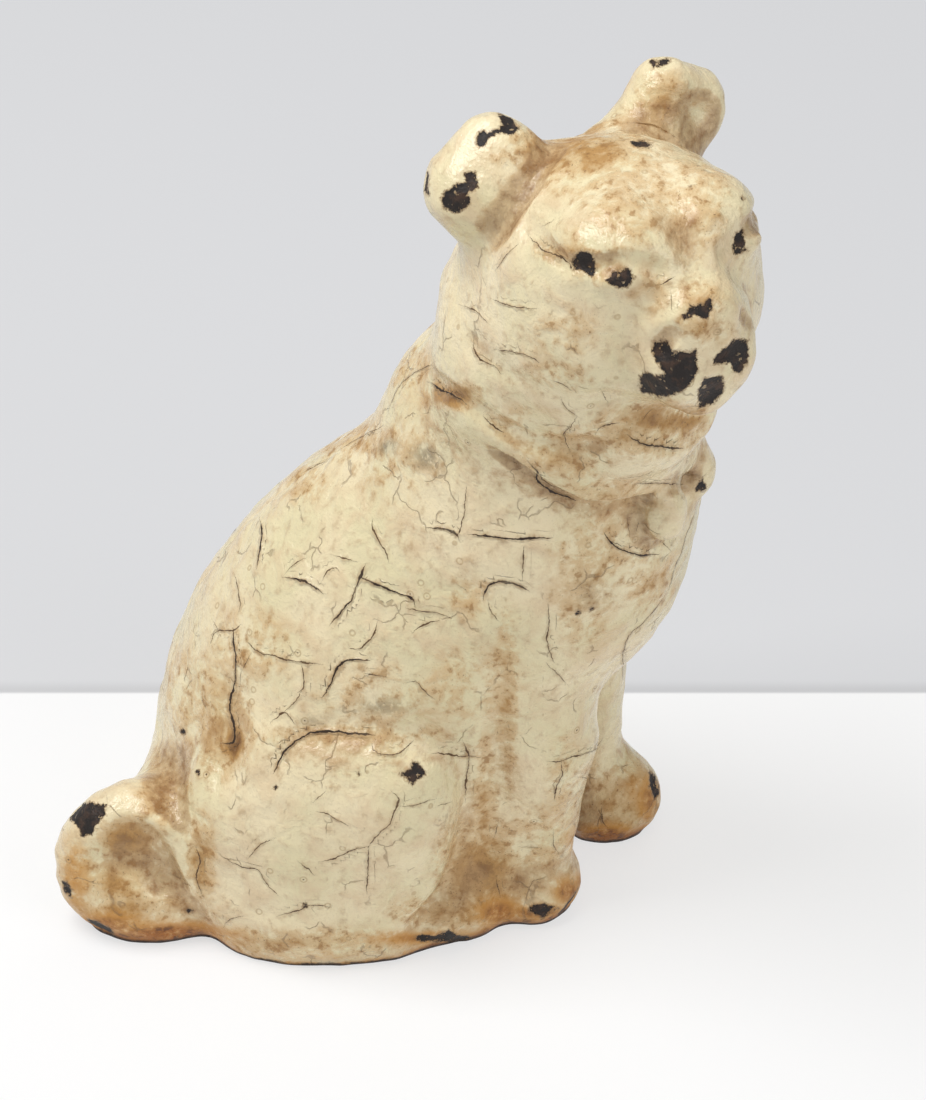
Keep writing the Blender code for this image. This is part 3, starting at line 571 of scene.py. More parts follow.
def model_pup():
    clay = Clay()
    model_trunk(clay)
    model_hind_legs(clay)
    model_front_legs(clay)
    model_tail(clay)
    model_collar(clay)
    # The dent above the near hip
    clay.crease([(-34, 44.5, 47), (-34, 44, 44)], 5.5, 2.6)
    model_head(clay)
    return clay


def lump_balls(lumps, inset):
    """The balls that stand for the lumps, close together along each limb, as (centre, axes times radii)."""
    for lump in lumps:
        if lump["scoop"] or lump["kind"] == "crease":
            continue
        if lump["kind"] == "ball":
            yield lump["middle"], lump["axes"] * (lump["radii"] - inset)
            continue
        for (a, a_radius), (b, b_radius) in zip(lump["chain"][:-1], lump["chain"][1:]):
            steps = ceil(np.linalg.norm(b - a) / (BALL_SPACING * (min(a_radius, b_radius) - inset)))
            for i in range(steps + 1):
                radius = a_radius + (b_radius - a_radius) * i / steps - inset
                yield a + (b - a) * i / steps, np.eye(3) * radius


def lumps_to_mesh(name, lumps, inset):
    """One loose sphere for each of the lumps' balls, all drawn in by the inset."""
    bm = bmesh.new()
    bmesh.ops.create_uvsphere(bm, u_segments=SPHERE_SIDES, v_segments=SPHERE_SIDES // 2, radius=1)
    unit = np.array([v.co for v in bm.verts])
    faces = [[v.index for v in face.verts] for face in bm.faces]
    bm.free()
    points, sides = [], []
    for centre, stretch in lump_balls(lumps, inset):
        sides += [[index + len(points) for index in face] for face in faces]
        points += (unit @ stretch.T + centre).tolist()
    mesh = bpy.data.meshes.new(name)
    mesh.from_pydata(points, [], sides)
    return mesh


def link(name, mesh, collection):
    made = bpy.data.objects.new(name, mesh)
    collection.objects.link(made)
    return made


def bake_modifiers(thing):
    """Replaces the object's mesh with what its modifiers make of it."""
    bpy.context.view_layer.update()
    evaluated = thing.evaluated_get(bpy.context.evaluated_depsgraph_get())
    mesh = bpy.data.meshes.new_from_object(evaluated)
    thing.modifiers.clear()
    thing.data = mesh


def get_points(mesh):
    co = np.empty(len(mesh.vertices) * 3, np.float32)
    mesh.vertices.foreach_get("co", co)
    return co.reshape(-1, 3).astype(float)


def set_points(mesh, p):
    mesh.vertices.foreach_set("co", p.astype(np.float32).ravel())
    mesh.update()


def settle(mesh, distance):
    """Moves each vertex along the slope until it lies on the surface where the distance is zero."""
    p = get_points(mesh)
    for _ in range(SETTLE_ROUNDS):
        d = distance(p)
        slope = np.stack([distance(p + step) - d for step in np.eye(3) * PROBE], -1) / PROBE
        move = d / np.maximum((slope ** 2).sum(-1), LEAST_SLOPE)
        p -= np.clip(move, -LONGEST_STEP, LONGEST_STEP)[:, None] * slope
    set_points(mesh, p)


def sculpt(name, lumps, inset, voxels, collection):
    """One closed skin over the lumps, this far inside their soft surface."""
    thing = link(name, lumps_to_mesh(name, lumps, inset), collection)
    for voxel in voxels:
        remesh = thing.modifiers.new("Remesh", "REMESH")
        remesh.mode = "VOXEL"
        remesh.voxel_size = voxel
        bake_modifiers(thing)
        settle(thing.data, lambda p: surface_distance(p, lumps) + inset)
    return thing


def add_rod(bm, yz, x_from, x_to, radius):
    """A cylinder along X between two places."""
    matrix = Matrix.Translation(((x_from + x_to) / 2, *yz)) @ Matrix.Rotation(pi / 2, 4, "Y")
    bmesh.ops.create_cone(bm, cap_ends=True, segments=ROUND_SIDES, radius1=radius, radius2=radius,
                          depth=abs(x_to - x_from), matrix=matrix)


def finish_mesh(name, bm, collection):
    mesh = bpy.data.meshes.new(name)
    bm.to_mesh(mesh)
    bm.free()
    return link(name, mesh, collection)


def make_block(name, low, high, collection):
    bm = bmesh.new()
    low, high = Vector(low), Vector(high)
    bmesh.ops.create_cube(bm, size=1, matrix=Matrix.Translation((low + high) / 2)
                          @ Matrix.Diagonal((*(high - low), 1)))
    return finish_mesh(name, bm, collection)


def make_rods(name, rods, collection):
    """Rods that stand apart from each other, as (yz, x_from, x_to, radius)."""
    bm = bmesh.new()
    for rod in rods:
        add_rod(bm, *rod)
    return finish_mesh(name, bm, collection)


def boolean(thing, other, operation):
    modifier = thing.modifiers.new(other.name, "BOOLEAN")
    modifier.operation = operation
    modifier.solver = "MANIFOLD"
    modifier.object = other


def make_half(name, side, holes, pins, skin, core, parts, cutters):
    """The hollow half on one side of the parting plane, with its drilled boss and its three lugs."""
    half = link(name, skin.data.copy(), parts)
    boolean(half, core, "DIFFERENCE")
    posts = [(SCREW_AT, side * BOSS_REACH, -side * OVERLAP, BOSS_RADIUS)]
    posts += [(place, side * LUG_LENGTH, -side * OVERLAP, LUG_RADIUS) for place in LUG_AT]
    boolean(half, make_rods(name + "_posts", posts, cutters), "UNION")
    for number, group in enumerate(holes):
        boolean(half, make_rods(f"{name}_holes_{number}", group, cutters), "DIFFERENCE")
    outer, inner = side * REACH, side * JOINT_GAP
    keep = make_block(name + "_keep", (min(outer, inner), -REACH, 0), (max(outer, inner), REACH, 2 * REACH),
                      cutters)
    boolean(half, keep, "INTERSECT")
    if pins:
        boolean(half, make_rods(name + "_pins", pins, cutters), "UNION")
    bake_modifiers(half)
    return half


def outward(p, lumps):
    """The direction straight out of the clay at each point."""
    slope = np.stack([surface_distance(p + step, lumps) - surface_distance(p - step, lumps)
                      for step in np.eye(3) * CURVE_PROBE], -1)
    return slope / np.maximum(np.linalg.norm(slope, axis=1, keepdims=True), 1e-9)


def hollowness(p, normal, lumps):
    """From 0 in the open to 1 deep in a fold."""
    total = 0
    for height in FOLD_HEIGHTS:
        total = total + np.clip((height - surface_distance(p + normal * height, lumps)) / height, 0, 1)
    return total / len(FOLD_HEIGHTS)


def lumpy(p, size):
    """Smooth noise from 0 to 1 with features of about this size."""
    return np.array([noise.noise(Vector(q)) for q in p / size]) * 0.5 + 0.5


def ease(low, high, value):
    t = np.clip((value - low) / (high - low), 0, 1)
    return t * t * (3 - 2 * t)


def to_photo(p):
    """Where points show in the photograph, in pixels."""
    away = p - EYE
    depth = -away @ BACK
    x = PHOTO_SIZE[0] / 2 + FOCAL_PIXELS * (away @ RIGHT) / depth
    y = PHOTO_SIZE[1] / 2 - FOCAL_PIXELS * (away @ UP) / depth
    return np.stack([x, y], -1)


def seen_from(eye, p, normal, tree):
    """True where nothing stands between the surface and the eye."""
    toward = eye - p
    toward /= np.linalg.norm(toward, axis=1, keepdims=True)
    seen = (toward * normal).sum(-1) > GRAZING
    for i in np.flatnonzero(seen):
        start = p[i] + normal[i] * RAY_LIFT
        seen[i] = tree.ray_cast(Vector(start), Vector(toward[i]))[0] is None
    return seen


def segment_distance(pixels, a, b):
    along = b - a
    t = np.clip(((pixels - a) @ along) / max(along @ along, 1e-9), 0, 1)
    return np.sqrt(((pixels - a - t[:, None] * along) ** 2).sum(-1))


def polygon_distance(pixels, corners):
    """Distance to the outline in pixels, negative inside."""
    nearest = np.full(len(pixels), FAR)
    inside = np.zeros(len(pixels), bool)
    for a, b in zip(corners, np.roll(corners, -1, axis=0)):
        nearest = np.minimum(nearest, segment_distance(pixels, a, b))
        if a[1] != b[1]:
            crosses = (a[1] > pixels[:, 1]) != (b[1] > pixels[:, 1])
            reach = a[0] + (pixels[:, 1] - a[1]) * (b[0] - a[0]) / (b[1] - a[1])
            inside ^= crosses & (pixels[:, 0] < reach)
    return np.where(inside, -nearest, nearest)


def near_box(pixels, corners, margin):
    low, high = corners.min(0) - margin, corners.max(0) + margin
    return np.flatnonzero(((pixels > low) & (pixels < high)).all(-1))


def blobs(pixels, places):
    """Soft round marks, the strongest where several meet."""
    total = np.zeros(len(pixels))
    for x, y, across, up, strength in places:
        away = ((pixels - (x, y)) / (across, up)) ** 2
        total = np.maximum(total, strength * np.exp(-SPOT_FALL * away.sum(-1)))
    return total


def share_layers(cracks):
    """Gives each crack a layer in which it stays clear of the others, as far as that goes."""
    layers = [[] for _ in range(CRACK_LAYERS)]
    for crack in cracks:
        room = [min((np.linalg.norm(crack["line"][:, None] - other["line"][None], axis=-1).min()
                     for other in layer), default=FAR) for layer in layers]
        layers[int(np.argmax(np.minimum(room, CLEAR_PIXELS)))].append(crack)
    return layers


def prepare_cracks():
    cracks = []
    for width, lines in ((OPEN_WIDTH, OPEN_CRACKS), (HAIR_WIDTH, HAIRLINES)):
        for line in lines:
            cracks.append({"line": np.array(soft_curve(line, False, CRACK_STEPS)), "width": width})
    return share_layers(cracks)


def follow_line(pixels, line, tilt):
    """How far each pixel lies beside the line, past its ends, and from the nearer end along it."""
    lengths = np.linalg.norm(np.diff(line, axis=0), axis=1)
    run = np.concatenate([[0], np.cumsum(lengths)])
    best, side = np.full((2, len(pixels)), FAR)
    past_end, inward = np.zeros((2, len(pixels)))
    for i, (a, b) in enumerate(zip(line[:-1], line[1:])):
        along = (b - a) / lengths[i]
        across = np.array((-along[1], along[0]))
        reach, offset = (pixels - a) @ along, (pixels - a) @ across
        past = np.maximum(0, np.maximum(-reach, reach - lengths[i]))
        distance = np.hypot(offset, past)
        over = np.zeros(len(pixels))
        if i == 0:
            over = np.maximum(over, -reach)
        if i == len(lengths) - 1:
            over = np.maximum(over, reach - lengths[i])
        value = np.where((past > 0) & (over <= 0), np.copysign(distance, offset), offset)
        place = run[i] + np.clip(reach, 0, lengths[i])
        closer = distance < best
        best[closer] = distance[closer]
        side[closer] = (value * np.sqrt(1 + (tilt @ across) ** 2))[closer]
        past_end[closer] = over[closer]
        inward[closer] = np.minimum(place, run[-1] - place)[closer]
    return side, past_end, inward


def mark_cracks(layer, pixels, normal, per_mm, shown):
    """For one layer, the distance beside the nearest crack in mm, how plain the crack is, and its width."""
    marks = np.zeros((len(pixels), 3))
    marks[:, 0] = CRACK_MARGIN
    facing = np.maximum(normal @ BACK, LEAST_FACING)
    tilt = np.stack([normal @ RIGHT, -(normal @ UP)], -1) / facing[:, None]
    for crack in layer:
        near = near_box(pixels, crack["line"], CRACK_BOX)
        near = near[shown[near]]
        if not len(near):
            continue
        side, past_end, inward = follow_line(pixels[near], crack["line"], tilt[near])
        side /= per_mm[near]
        plain = (1 - ease(0, CRACK_END, past_end)) * (1 - ease(*CRACK_FADE, np.abs(side)))
        width = crack["width"] * ease(-CRACK_END, CRACK_TAPER, inward)
        better = plain > marks[near, 1]
        marks[near[better]] = np.stack([side, plain, width], -1)[better]
    return marks


def chip_distance(p, pixels, per_mm, shown):
    """Distance to the edge of the nearest chip in mm, negative inside it."""
    chip = np.full(len(p), CHIP_MARGIN)
    for corners in CHIPS:
        outline = np.array(corners, float)
        near = near_box(pixels, outline, 3 * CHIP_MARGIN)
        near = near[shown[near]]
        chip[near] = np.minimum(chip[near], polygon_distance(pixels[near], outline) / per_mm[near])
    for x, y, radius in PITS:
        away = np.linalg.norm(pixels - (x, y), axis=-1) - radius
        chip = np.where(shown, np.minimum(chip, away / per_mm), chip)
    ragged = sum((lumpy(p, size) - 0.5) * depth for size, depth in RAGGED)
    for x, y, z, radius in FAR_CHIPS:
        away = np.linalg.norm(p - (x, y, z), axis=-1) - radius + ragged * min(radius / 2, 1)
        chip = np.minimum(chip, away)
    return chip


def add_attribute(mesh, name, values):
    vector = values.ndim == 2
    attribute = mesh.attributes.new(name, "FLOAT_VECTOR" if vector else "FLOAT", "POINT")
    attribute.data.foreach_set("vector" if vector else "value", values.astype(np.float32).ravel())


def weather(half, lumps, layers, tree):
    """Marks wear, stains, painted shade in folds and hollows, and cracks on the outside of a half, and gives
    it the relief of old enamel.
    """
    mesh = half.data
    p = get_points(mesh)
    outer = np.abs(surface_distance(p, lumps)) < OUTSIDE_REACH
    normal = outward(p, lumps)
    pixels = to_photo(p)
    per_mm = FOCAL_PIXELS / ((EYE - p) @ BACK)
    shown = outer & seen_from(EYE, p, normal, tree)
    # The far flank, which the photograph doesn't show, wears the same kinds of mark, turned over
    turned, turned_normal = p * MIRROR, normal * MIRROR
    far_pixels = to_photo(turned)
    all_pixels = np.where(shown[:, None], pixels, far_pixels)
    all_normal = np.where(shown[:, None], normal, turned_normal)
    chip = chip_distance(p, pixels, per_mm, shown)
    fade = np.where(shown, 1.0, FAR_STRENGTH) * outer
    shifted = np.where(shown[:, None], pixels, far_pixels + FAR_SHIFT)
    facing = outer & (shown | (turned_normal @ BACK > FAR_FACING))
    for name, layer in zip(CRACK_NAMES, layers):
        add_attribute(mesh, name, mark_cracks(layer, shifted, all_normal, per_mm, facing))
    add_attribute(mesh, "chip", chip)
    add_attribute(mesh, "grey", blobs(pixels, GREY) * shown)
    add_attribute(mesh, "stain_and_shade", blobs(all_pixels, STAINS_AND_SHADE) * fade)
    add_attribute(mesh, "rust", blobs(all_pixels, RUST) * fade)
    add_attribute(mesh, "spared", blobs(pixels, SPARED) * shown)
    add_attribute(mesh, "inside", 1.0 - outer)
    # The depth of a fold sets painted shade as well as dirt; the listed folds keep less of it
    fold_shade_kept = 1.0 - blobs(pixels, FOLDS_KEPT_LIGHT) * shown
    add_attribute(mesh, "fold", np.where(outer, hollowness(p, normal, lumps), 0) * fold_shade_kept)
    depth = sum(amount * lumpy(p, size) for size, amount in RELIEF)
    depth += CHIP_SINK * ease(*CHIP_EDGE, chip)
    along_seam = ease(SEAM_TOP, SEAM_TOP - SEAM_FADE, p[:, 2])
    depth += SEAM_DEPTH * ease(SEAM_REACH, 0, np.abs(p[:, 0])) * along_seam
    move = -normal * (depth * outer)[:, None]
    move[np.abs(p[:, 0]) < 2 * JOINT_GAP, 0] = 0
    move[p[:, 2] < JOINT_GAP, 2] = 0
    set_points(mesh, p + move)


def to_row_frame(thing):
    """From the sculptor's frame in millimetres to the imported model's frame in metres."""
    place = Matrix.Translation((-CENTRE[0] * MM, -CENTRE[1] * MM, 0))
    thing.data.transform(place @ Matrix.Scale(MM, 4))


def smooth_faces(thing, angle):
    thing.data.shade_smooth()
    thing.data.set_sharp_from_angle(angle=radians(angle))


def make_castings(parts, cutters):
    lumps = model_pup().lumps
    hollow = [lump for lump in lumps if lump["hollow"]]
    skin = sculpt("skin", lumps, 0, (COARSE_VOXEL, SKIN_VOXEL), cutters)
    core = sculpt("core", hollow, WALL, (COARSE_VOXEL, CORE_VOXEL), cutters)
    tree = BVHTree.FromPolygons([v.co for v in skin.data.vertices], [f.vertices for f in skin.data.polygons])
    layers = prepare_cracks()
    right_holes = [(SCREW_AT, BORE_END_X, 2 * OVERLAP, BORE_RADIUS)]
    right_holes += [(place, -JOINT_GAP - SOCKET_DEPTH, 2 * OVERLAP, SOCKET_RADIUS) for place in LUG_AT]
    right = make_half("right_half_enamelled", -1, [right_holes], [], skin, core, parts, cutters)
    bore = [(SCREW_AT, -2 * OVERLAP, REACH, BORE_RADIUS)]
    recess = [(SCREW_AT, SCREW_SEAT_X, REACH, RECESS_RADIUS)]
    pins = [(place, OVERLAP, JOINT_GAP - PIN_LENGTH, PIN_RADIUS) for place in LUG_AT]
    left = make_half("left_half_enamelled", 1, [bore, recess], pins, skin, core, parts, cutters)
    for half in (right, left):
        weather(half, lumps, layers, tree)
        to_row_frame(half)
        smooth_faces(half, SHARP_ANGLE)
    return right, left


class Nodes:
    """Builds a material from small named steps. Lengths on its surface are in millimetres."""

    def __init__(self, name):
        self.material = bpy.data.materials.new(name)
        self.material.use_nodes = True
        self.tree = self.material.node_tree
        self.tree.nodes.clear()
        place = self.add("ShaderNodeTexCoord", {}).outputs["Object"]
        self.place = self.vector("SCALE", place, Scale=1 / MM)
        self.height = self.add("ShaderNodeSeparateXYZ", {"Vector": self.place}).outputs["Z"]

    def add(self, kind, inputs, **settings):
        node = self.tree.nodes.new(kind)
        for key, value in settings.items():
            setattr(node, key, value)
        for key, value in inputs.items():
            if isinstance(value, bpy.types.NodeSocket):
                self.tree.links.new(value, node.inputs[key])
            else:
                node.inputs[key].default_value = value
        return node

    def vector(self, operation, *values, **named):
        inputs = {**dict(enumerate(values)), **named}
        return self.add("ShaderNodeVectorMath", inputs, operation=operation).outputs["Vector"]

    def math(self, operation, *values, clamp=False):
        return self.add("ShaderNodeMath", dict(enumerate(values)), operation=operation,
                        use_clamp=clamp).outputs[0]

    def chain(self, operation, values):
        result = values[0]
        for value in values[1:]:
            result = self.math(operation, result, value)
        return result

    def product(self, *values):
        return self.chain("MULTIPLY", values)

    def total(self, *values):
        return self.chain("ADD", values)

    def most(self, *values):
        return self.chain("MAXIMUM", values)

    def ramp(self, value, low, high, start=0.0, end=1.0):
        """From start to end as the value goes from low to high, with soft ends."""
        inputs = {"Value": value, "From Min": low, "From Max": high, "To Min": start, "To Max": end}
        return self.add("ShaderNodeMapRange", inputs, interpolation_type="SMOOTHSTEP").outputs["Result"]

    def noise(self, size, detail=2.0, roughness=0.5, distortion=0.0, shift=0.0):
        place = self.vector("ADD", self.place, (shift, 1.7 * shift, -shift)) if shift else self.place
        inputs = {"Vector": place, "Scale": 1 / size, "Detail": detail, "Roughness": roughness,
                  "Distortion": distortion}
        return self.add("ShaderNodeTexNoise", inputs).outputs[0]

    def cells(self, size, feature, place=None):
        inputs = {"Vector": place or self.place, "Scale": 1 / size}
        return self.add("ShaderNodeTexVoronoi", inputs, feature=feature)

    def attribute(self, name, output="Fac"):
        return self.add("ShaderNodeAttribute", {}, attribute_name=name).outputs[output]

    def mix(self, factor, a, b):
        colours = [(*c, 1) if isinstance(c, tuple) else c for c in (a, b)]
        node = self.add("ShaderNodeMix", {0: factor, 6: colours[0], 7: colours[1]}, data_type="RGBA")
        return node.outputs[2]

    def tint(self, colour, value, low, high, most, over):
        """Lays another colour over this one as the value goes from low to high."""
        return self.mix(self.ramp(value, low, high, 0, most), colour, over)

    def blend(self, factor, a, b):
        return self.add("ShaderNodeMix", {0: factor, 2: a, 3: b}, data_type="FLOAT").outputs[0]

    def finish(self, colour, roughness, relief, **settings):
        """The relief is a height in millimetres."""
        bump = self.add("ShaderNodeBump", {"Height": relief, "Distance": MM, "Strength": 1.0})
        inputs = {"Base Color": colour, "Roughness": roughness, "Normal": bump.outputs[0], **settings}
        shader = self.add("ShaderNodeBsdfPrincipled", inputs)
        self.add("ShaderNodeOutputMaterial", {"Surface": shader.outputs[0]})
        return self.material


def read_cracks(nodes, wander, swell):
    """The open line of every marked crack, and the stained lips beside it."""
    lines, lips, widths = [], [], []
    for name in CRACK_NAMES:
        marks = nodes.add("ShaderNodeSeparateXYZ", {"Vector": nodes.attribute(name, "Vector")})
        side, plain, width = (marks.outputs[axis] for axis in "XYZ")
        away = nodes.product(nodes.math("ABSOLUTE", nodes.math("ADD", side, wander)), swell)
        edge = nodes.math("MULTIPLY", width, 0.8)
        lines.append(nodes.product(nodes.ramp(away, width, edge), nodes.ramp(plain, 0.15, 0.6)))
        lips.append(nodes.product(nodes.ramp(away, 1.0, 0.1), plain, nodes.ramp(width, 0.0, 0.24)))
        widths.append(nodes.product(width, nodes.ramp(away, 0.8, 0.4)))
    return nodes.most(*lines), nodes.most(*lips), nodes.most(*widths)


def craze(nodes):
    """Fine crazing that shows here and there between the marked cracks, but not on the skull."""
    bent = nodes.add("ShaderNodeTexNoise", {"Vector": nodes.place, "Scale": 1 / 7, "Detail": 3.0})
    place = nodes.vector("MULTIPLY_ADD", bent.outputs[1], (9, 9, 9), nodes.place)
    web = nodes.cells(11, "DISTANCE_TO_EDGE", place).outputs["Distance"]
    here = nodes.ramp(nodes.noise(8, 2, 0.5, 0.0, 17), 0.55, 0.62)
    return nodes.product(nodes.ramp(web, 0.022, 0.006), here, nodes.ramp(nodes.height, 172, 160))


def bubble(nodes):
    """The rings and the pinholes that bubbles have left."""
    spots = nodes.cells(5.2, "F1")
    chosen = nodes.add("ShaderNodeSeparateXYZ", {"Vector": spots.outputs["Color"]}).outputs["X"]
    chosen = nodes.ramp(chosen, 0.72, 0.74)
    away = spots.outputs["Distance"]
    ring = nodes.math("ABSOLUTE", nodes.math("ADD", away, -0.13))
    return (nodes.product(nodes.ramp(ring, 0.045, 0.01), chosen),
            nodes.product(nodes.ramp(away, 0.05, 0.02), chosen))


def make_enamel():
    """Cream enamel, crazed, stained, with shade painted into its folds and hollows, rusted at the foot and
    chipped to black iron.
    """
    nodes = Nodes("old_cream_enamel")
    broad, middling = nodes.noise(21, 3, 0.55), nodes.noise(6.5, 4, 0.6, 0.4, 31)
    small, grain = nodes.noise(2.2, 4, 0.6, 0.0, 57), nodes.noise(0.5, 3, 0.6, 0.0, 83)
    stain_and_shade, rust, grey = (nodes.attribute(name) for name in ("stain_and_shade", "rust", "grey"))
    fold, chip, inside = (nodes.attribute(name) for name in ("fold", "chip", "inside"))
    wander = nodes.math("MULTIPLY_ADD", nodes.noise(1.8, 4, 0.65, 0.0, 11), 1.1, -0.55)
    swell = nodes.ramp(nodes.noise(2.6, 2, 0.5, 0.0, 43), 0.3, 0.68, 1.9, 0.6)
    line, lips, width = read_cracks(nodes, wander, swell)
    crazing = craze(nodes)
    ring, hole = bubble(nodes)

    # Colour, from the clean enamel to the dirt and the painted shade on it
    colour = nodes.mix(nodes.ramp(broad, 0.38, 0.66), CREAM, GREENISH_CREAM)
    colour = nodes.tint(colour, middling, 0.42, 0.72, 0.6, WARM_CREAM)
    colour = nodes.tint(colour, small, 0.5, 0.72, 0.5, SANDY_CREAM)
    uneven = nodes.total(nodes.product(middling, 1.9), nodes.product(small, 1.6), -1.75)
    # The stain attribute carries real stains and the shade painted into hollows
    stained_and_shaded = nodes.math("ADD", stain_and_shade, nodes.product(uneven, nodes.ramp(stain_and_shade, 0.02, 0.35)))
    colour = nodes.tint(colour, stained_and_shaded, 0.0, 0.45, 0.6, TAN)
    colour = nodes.tint(colour, stained_and_shaded, 0.35, 1.1, 0.85, BROWN)
    colour = nodes.tint(colour, stained_and_shaded, 1.0, 1.7, 0.85, DARK_BROWN)
    # Dust and grime darken the deeper folds: painted shade there as well as dirt
    dirt_and_fold_shade = nodes.total(nodes.product(small, 0.6), nodes.product(middling, 0.4),
                        nodes.ramp(fold, 0.04, 0.26, 0, 0.46), -0.5)
    colour = nodes.tint(colour, dirt_and_fold_shade, 0.1, 0.38, 0.6, DUST_AND_SHADE)
    colour = nodes.tint(colour, dirt_and_fold_shade, 0.32, 0.66, 0.8, GRIME_AND_SHADE)
    specks = nodes.product(nodes.ramp(small, 0.57, 0.66), nodes.ramp(stained_and_shaded, 0.1, 0.6, 0.08, 0.55))
    colour = nodes.mix(specks, colour, SPECK)
    pins = nodes.product(nodes.ramp(grain, 0.62, 0.7), nodes.ramp(stained_and_shaded, -0.1, 0.7, 0.12, 0.75))
    colour = nodes.mix(pins, colour, PIN)

    # Rust creeps up from the foot
    spared = nodes.product(nodes.attribute("spared"), 4.0)
    foot = nodes.total(nodes.product(middling, 7.0), nodes.height, spared, -3.5)
    rusty = nodes.most(nodes.ramp(foot, 7.0, 0.5), nodes.product(rust, nodes.ramp(small, 0.25, 0.5, 0.5, 1)))
    colour = nodes.tint(colour, rusty, 0.05, 0.65, 0.8, ORANGE_RUST)
    colour = nodes.tint(colour, rusty, 0.45, 1.05, 0.9, RED_RUST)
    crust = nodes.product(nodes.ramp(rusty, 0.6, 1), nodes.ramp(small, 0.48, 0.62))
    colour = nodes.mix(crust, colour, DARK_RUST)

    # Bubbles and cracks
    colour = nodes.mix(nodes.math("MULTIPLY", ring, 0.45), colour, RING)
    colour = nodes.mix(hole, colour, PINHOLE)
    lip_stain = nodes.product(lips, nodes.ramp(small, 0.35, 0.6, 0.25, 0.75))
    colour = nodes.mix(lip_stain, colour, LIP)
    colour = nodes.mix(nodes.math("MULTIPLY", crazing, 0.45), colour, CRAZING)
    ink = nodes.mix(nodes.ramp(width, 0.14, 0.2), HAIRLINE_INK, CRACK_INK)
    colour = nodes.mix(nodes.product(line, nodes.ramp(middling, 0.3, 0.5, 0.75, 1.0)), colour, ink)
    greyed = nodes.product(grey, nodes.ramp(small, 0.38, 0.52, 0.3, 1))
    colour = nodes.mix(greyed, colour, GREYED)

    # Chips down to the black iron, with a brown rim and small islands of enamel near their edges
    ragged = nodes.total(nodes.product(nodes.noise(1.5, 5, 0.8, 0.3, 23), 2.6), chip, -1.25)
    colour = nodes.tint(colour, ragged, 0.55, 0.05, 0.8, CHIP_RIM)
    islands = nodes.ramp(nodes.noise(1.3, 3, 0.6, 0.0, 71), 0.62, 0.66)
    islands = nodes.product(islands, nodes.ramp(chip, -2.2, -0.9))
    bare = nodes.product(nodes.ramp(ragged, 0.1, -0.06), nodes.math("SUBTRACT", 1.0, islands))
    iron = nodes.mix(nodes.ramp(small, 0.45, 0.68), BLACK_IRON, BROWN_IRON)
    colour = nodes.mix(bare, colour, iron)
    rim = nodes.ramp(nodes.math("MULTIPLY_ADD", small, 2.4, nodes.height), 2.5, 1.5)
    colour = nodes.mix(rim, colour, FOOT_IRON)
    cast = nodes.mix(nodes.ramp(middling, 0.35, 0.65), *INNER_IRON)
    colour = nodes.mix(inside, colour, cast)

    dull = nodes.most(nodes.ramp(stained_and_shaded, 0.2, 0.9, 0, 0.6), rusty, nodes.ramp(dirt_and_fold_shade, 0.3, 0.8))
    shine = nodes.blend(dull, nodes.ramp(small, 0.3, 0.7, 0.15, 0.30), 0.6)
    rough = nodes.blend(nodes.most(bare, line, rim), shine, 0.6)
    rough = nodes.blend(inside, rough, 0.8)

    coarse = nodes.ramp(nodes.most(bare, inside, rusty), 0, 1, 0.03, 0.16)
    heights = ((middling, 0.9), (small, 0.4), (lips, 0.32), (line, -0.35), (crazing, -0.12), (ring, 0.05),
               (hole, -0.2), (bare, -0.35), (grain, coarse))
    relief = nodes.total(*(nodes.product(mark, height) for mark, height in heights))
    return nodes.finish(colour, rough, relief, **{"Specular IOR Level": GLOSS})


def make_steel():
    """Dark steel, rusted where the enamel didn't reach."""
    nodes = Nodes("rusty_screw_steel")
    cloud, grain = nodes.noise(2.6, 4, 0.6), nodes.noise(0.45, 3, 0.6, 0.0, 41)
    rusty = nodes.ramp(cloud, 0.42, 0.62)
    colour = nodes.mix(rusty, STEEL, STEEL_RUST)
    colour = nodes.tint(colour, grain, 0.55, 0.7, 0.6, STEEL_GRIME)
    rough = nodes.blend(rusty, nodes.ramp(grain, 0.3, 0.7, 0.32, 0.45), 0.75)
    relief = nodes.total(nodes.product(cloud, 0.08), nodes.product(grain, 0.05))
    return nodes.finish(colour, rough, relief, Metallic=nodes.math("MULTIPLY_ADD", rusty, -0.8, 0.85))


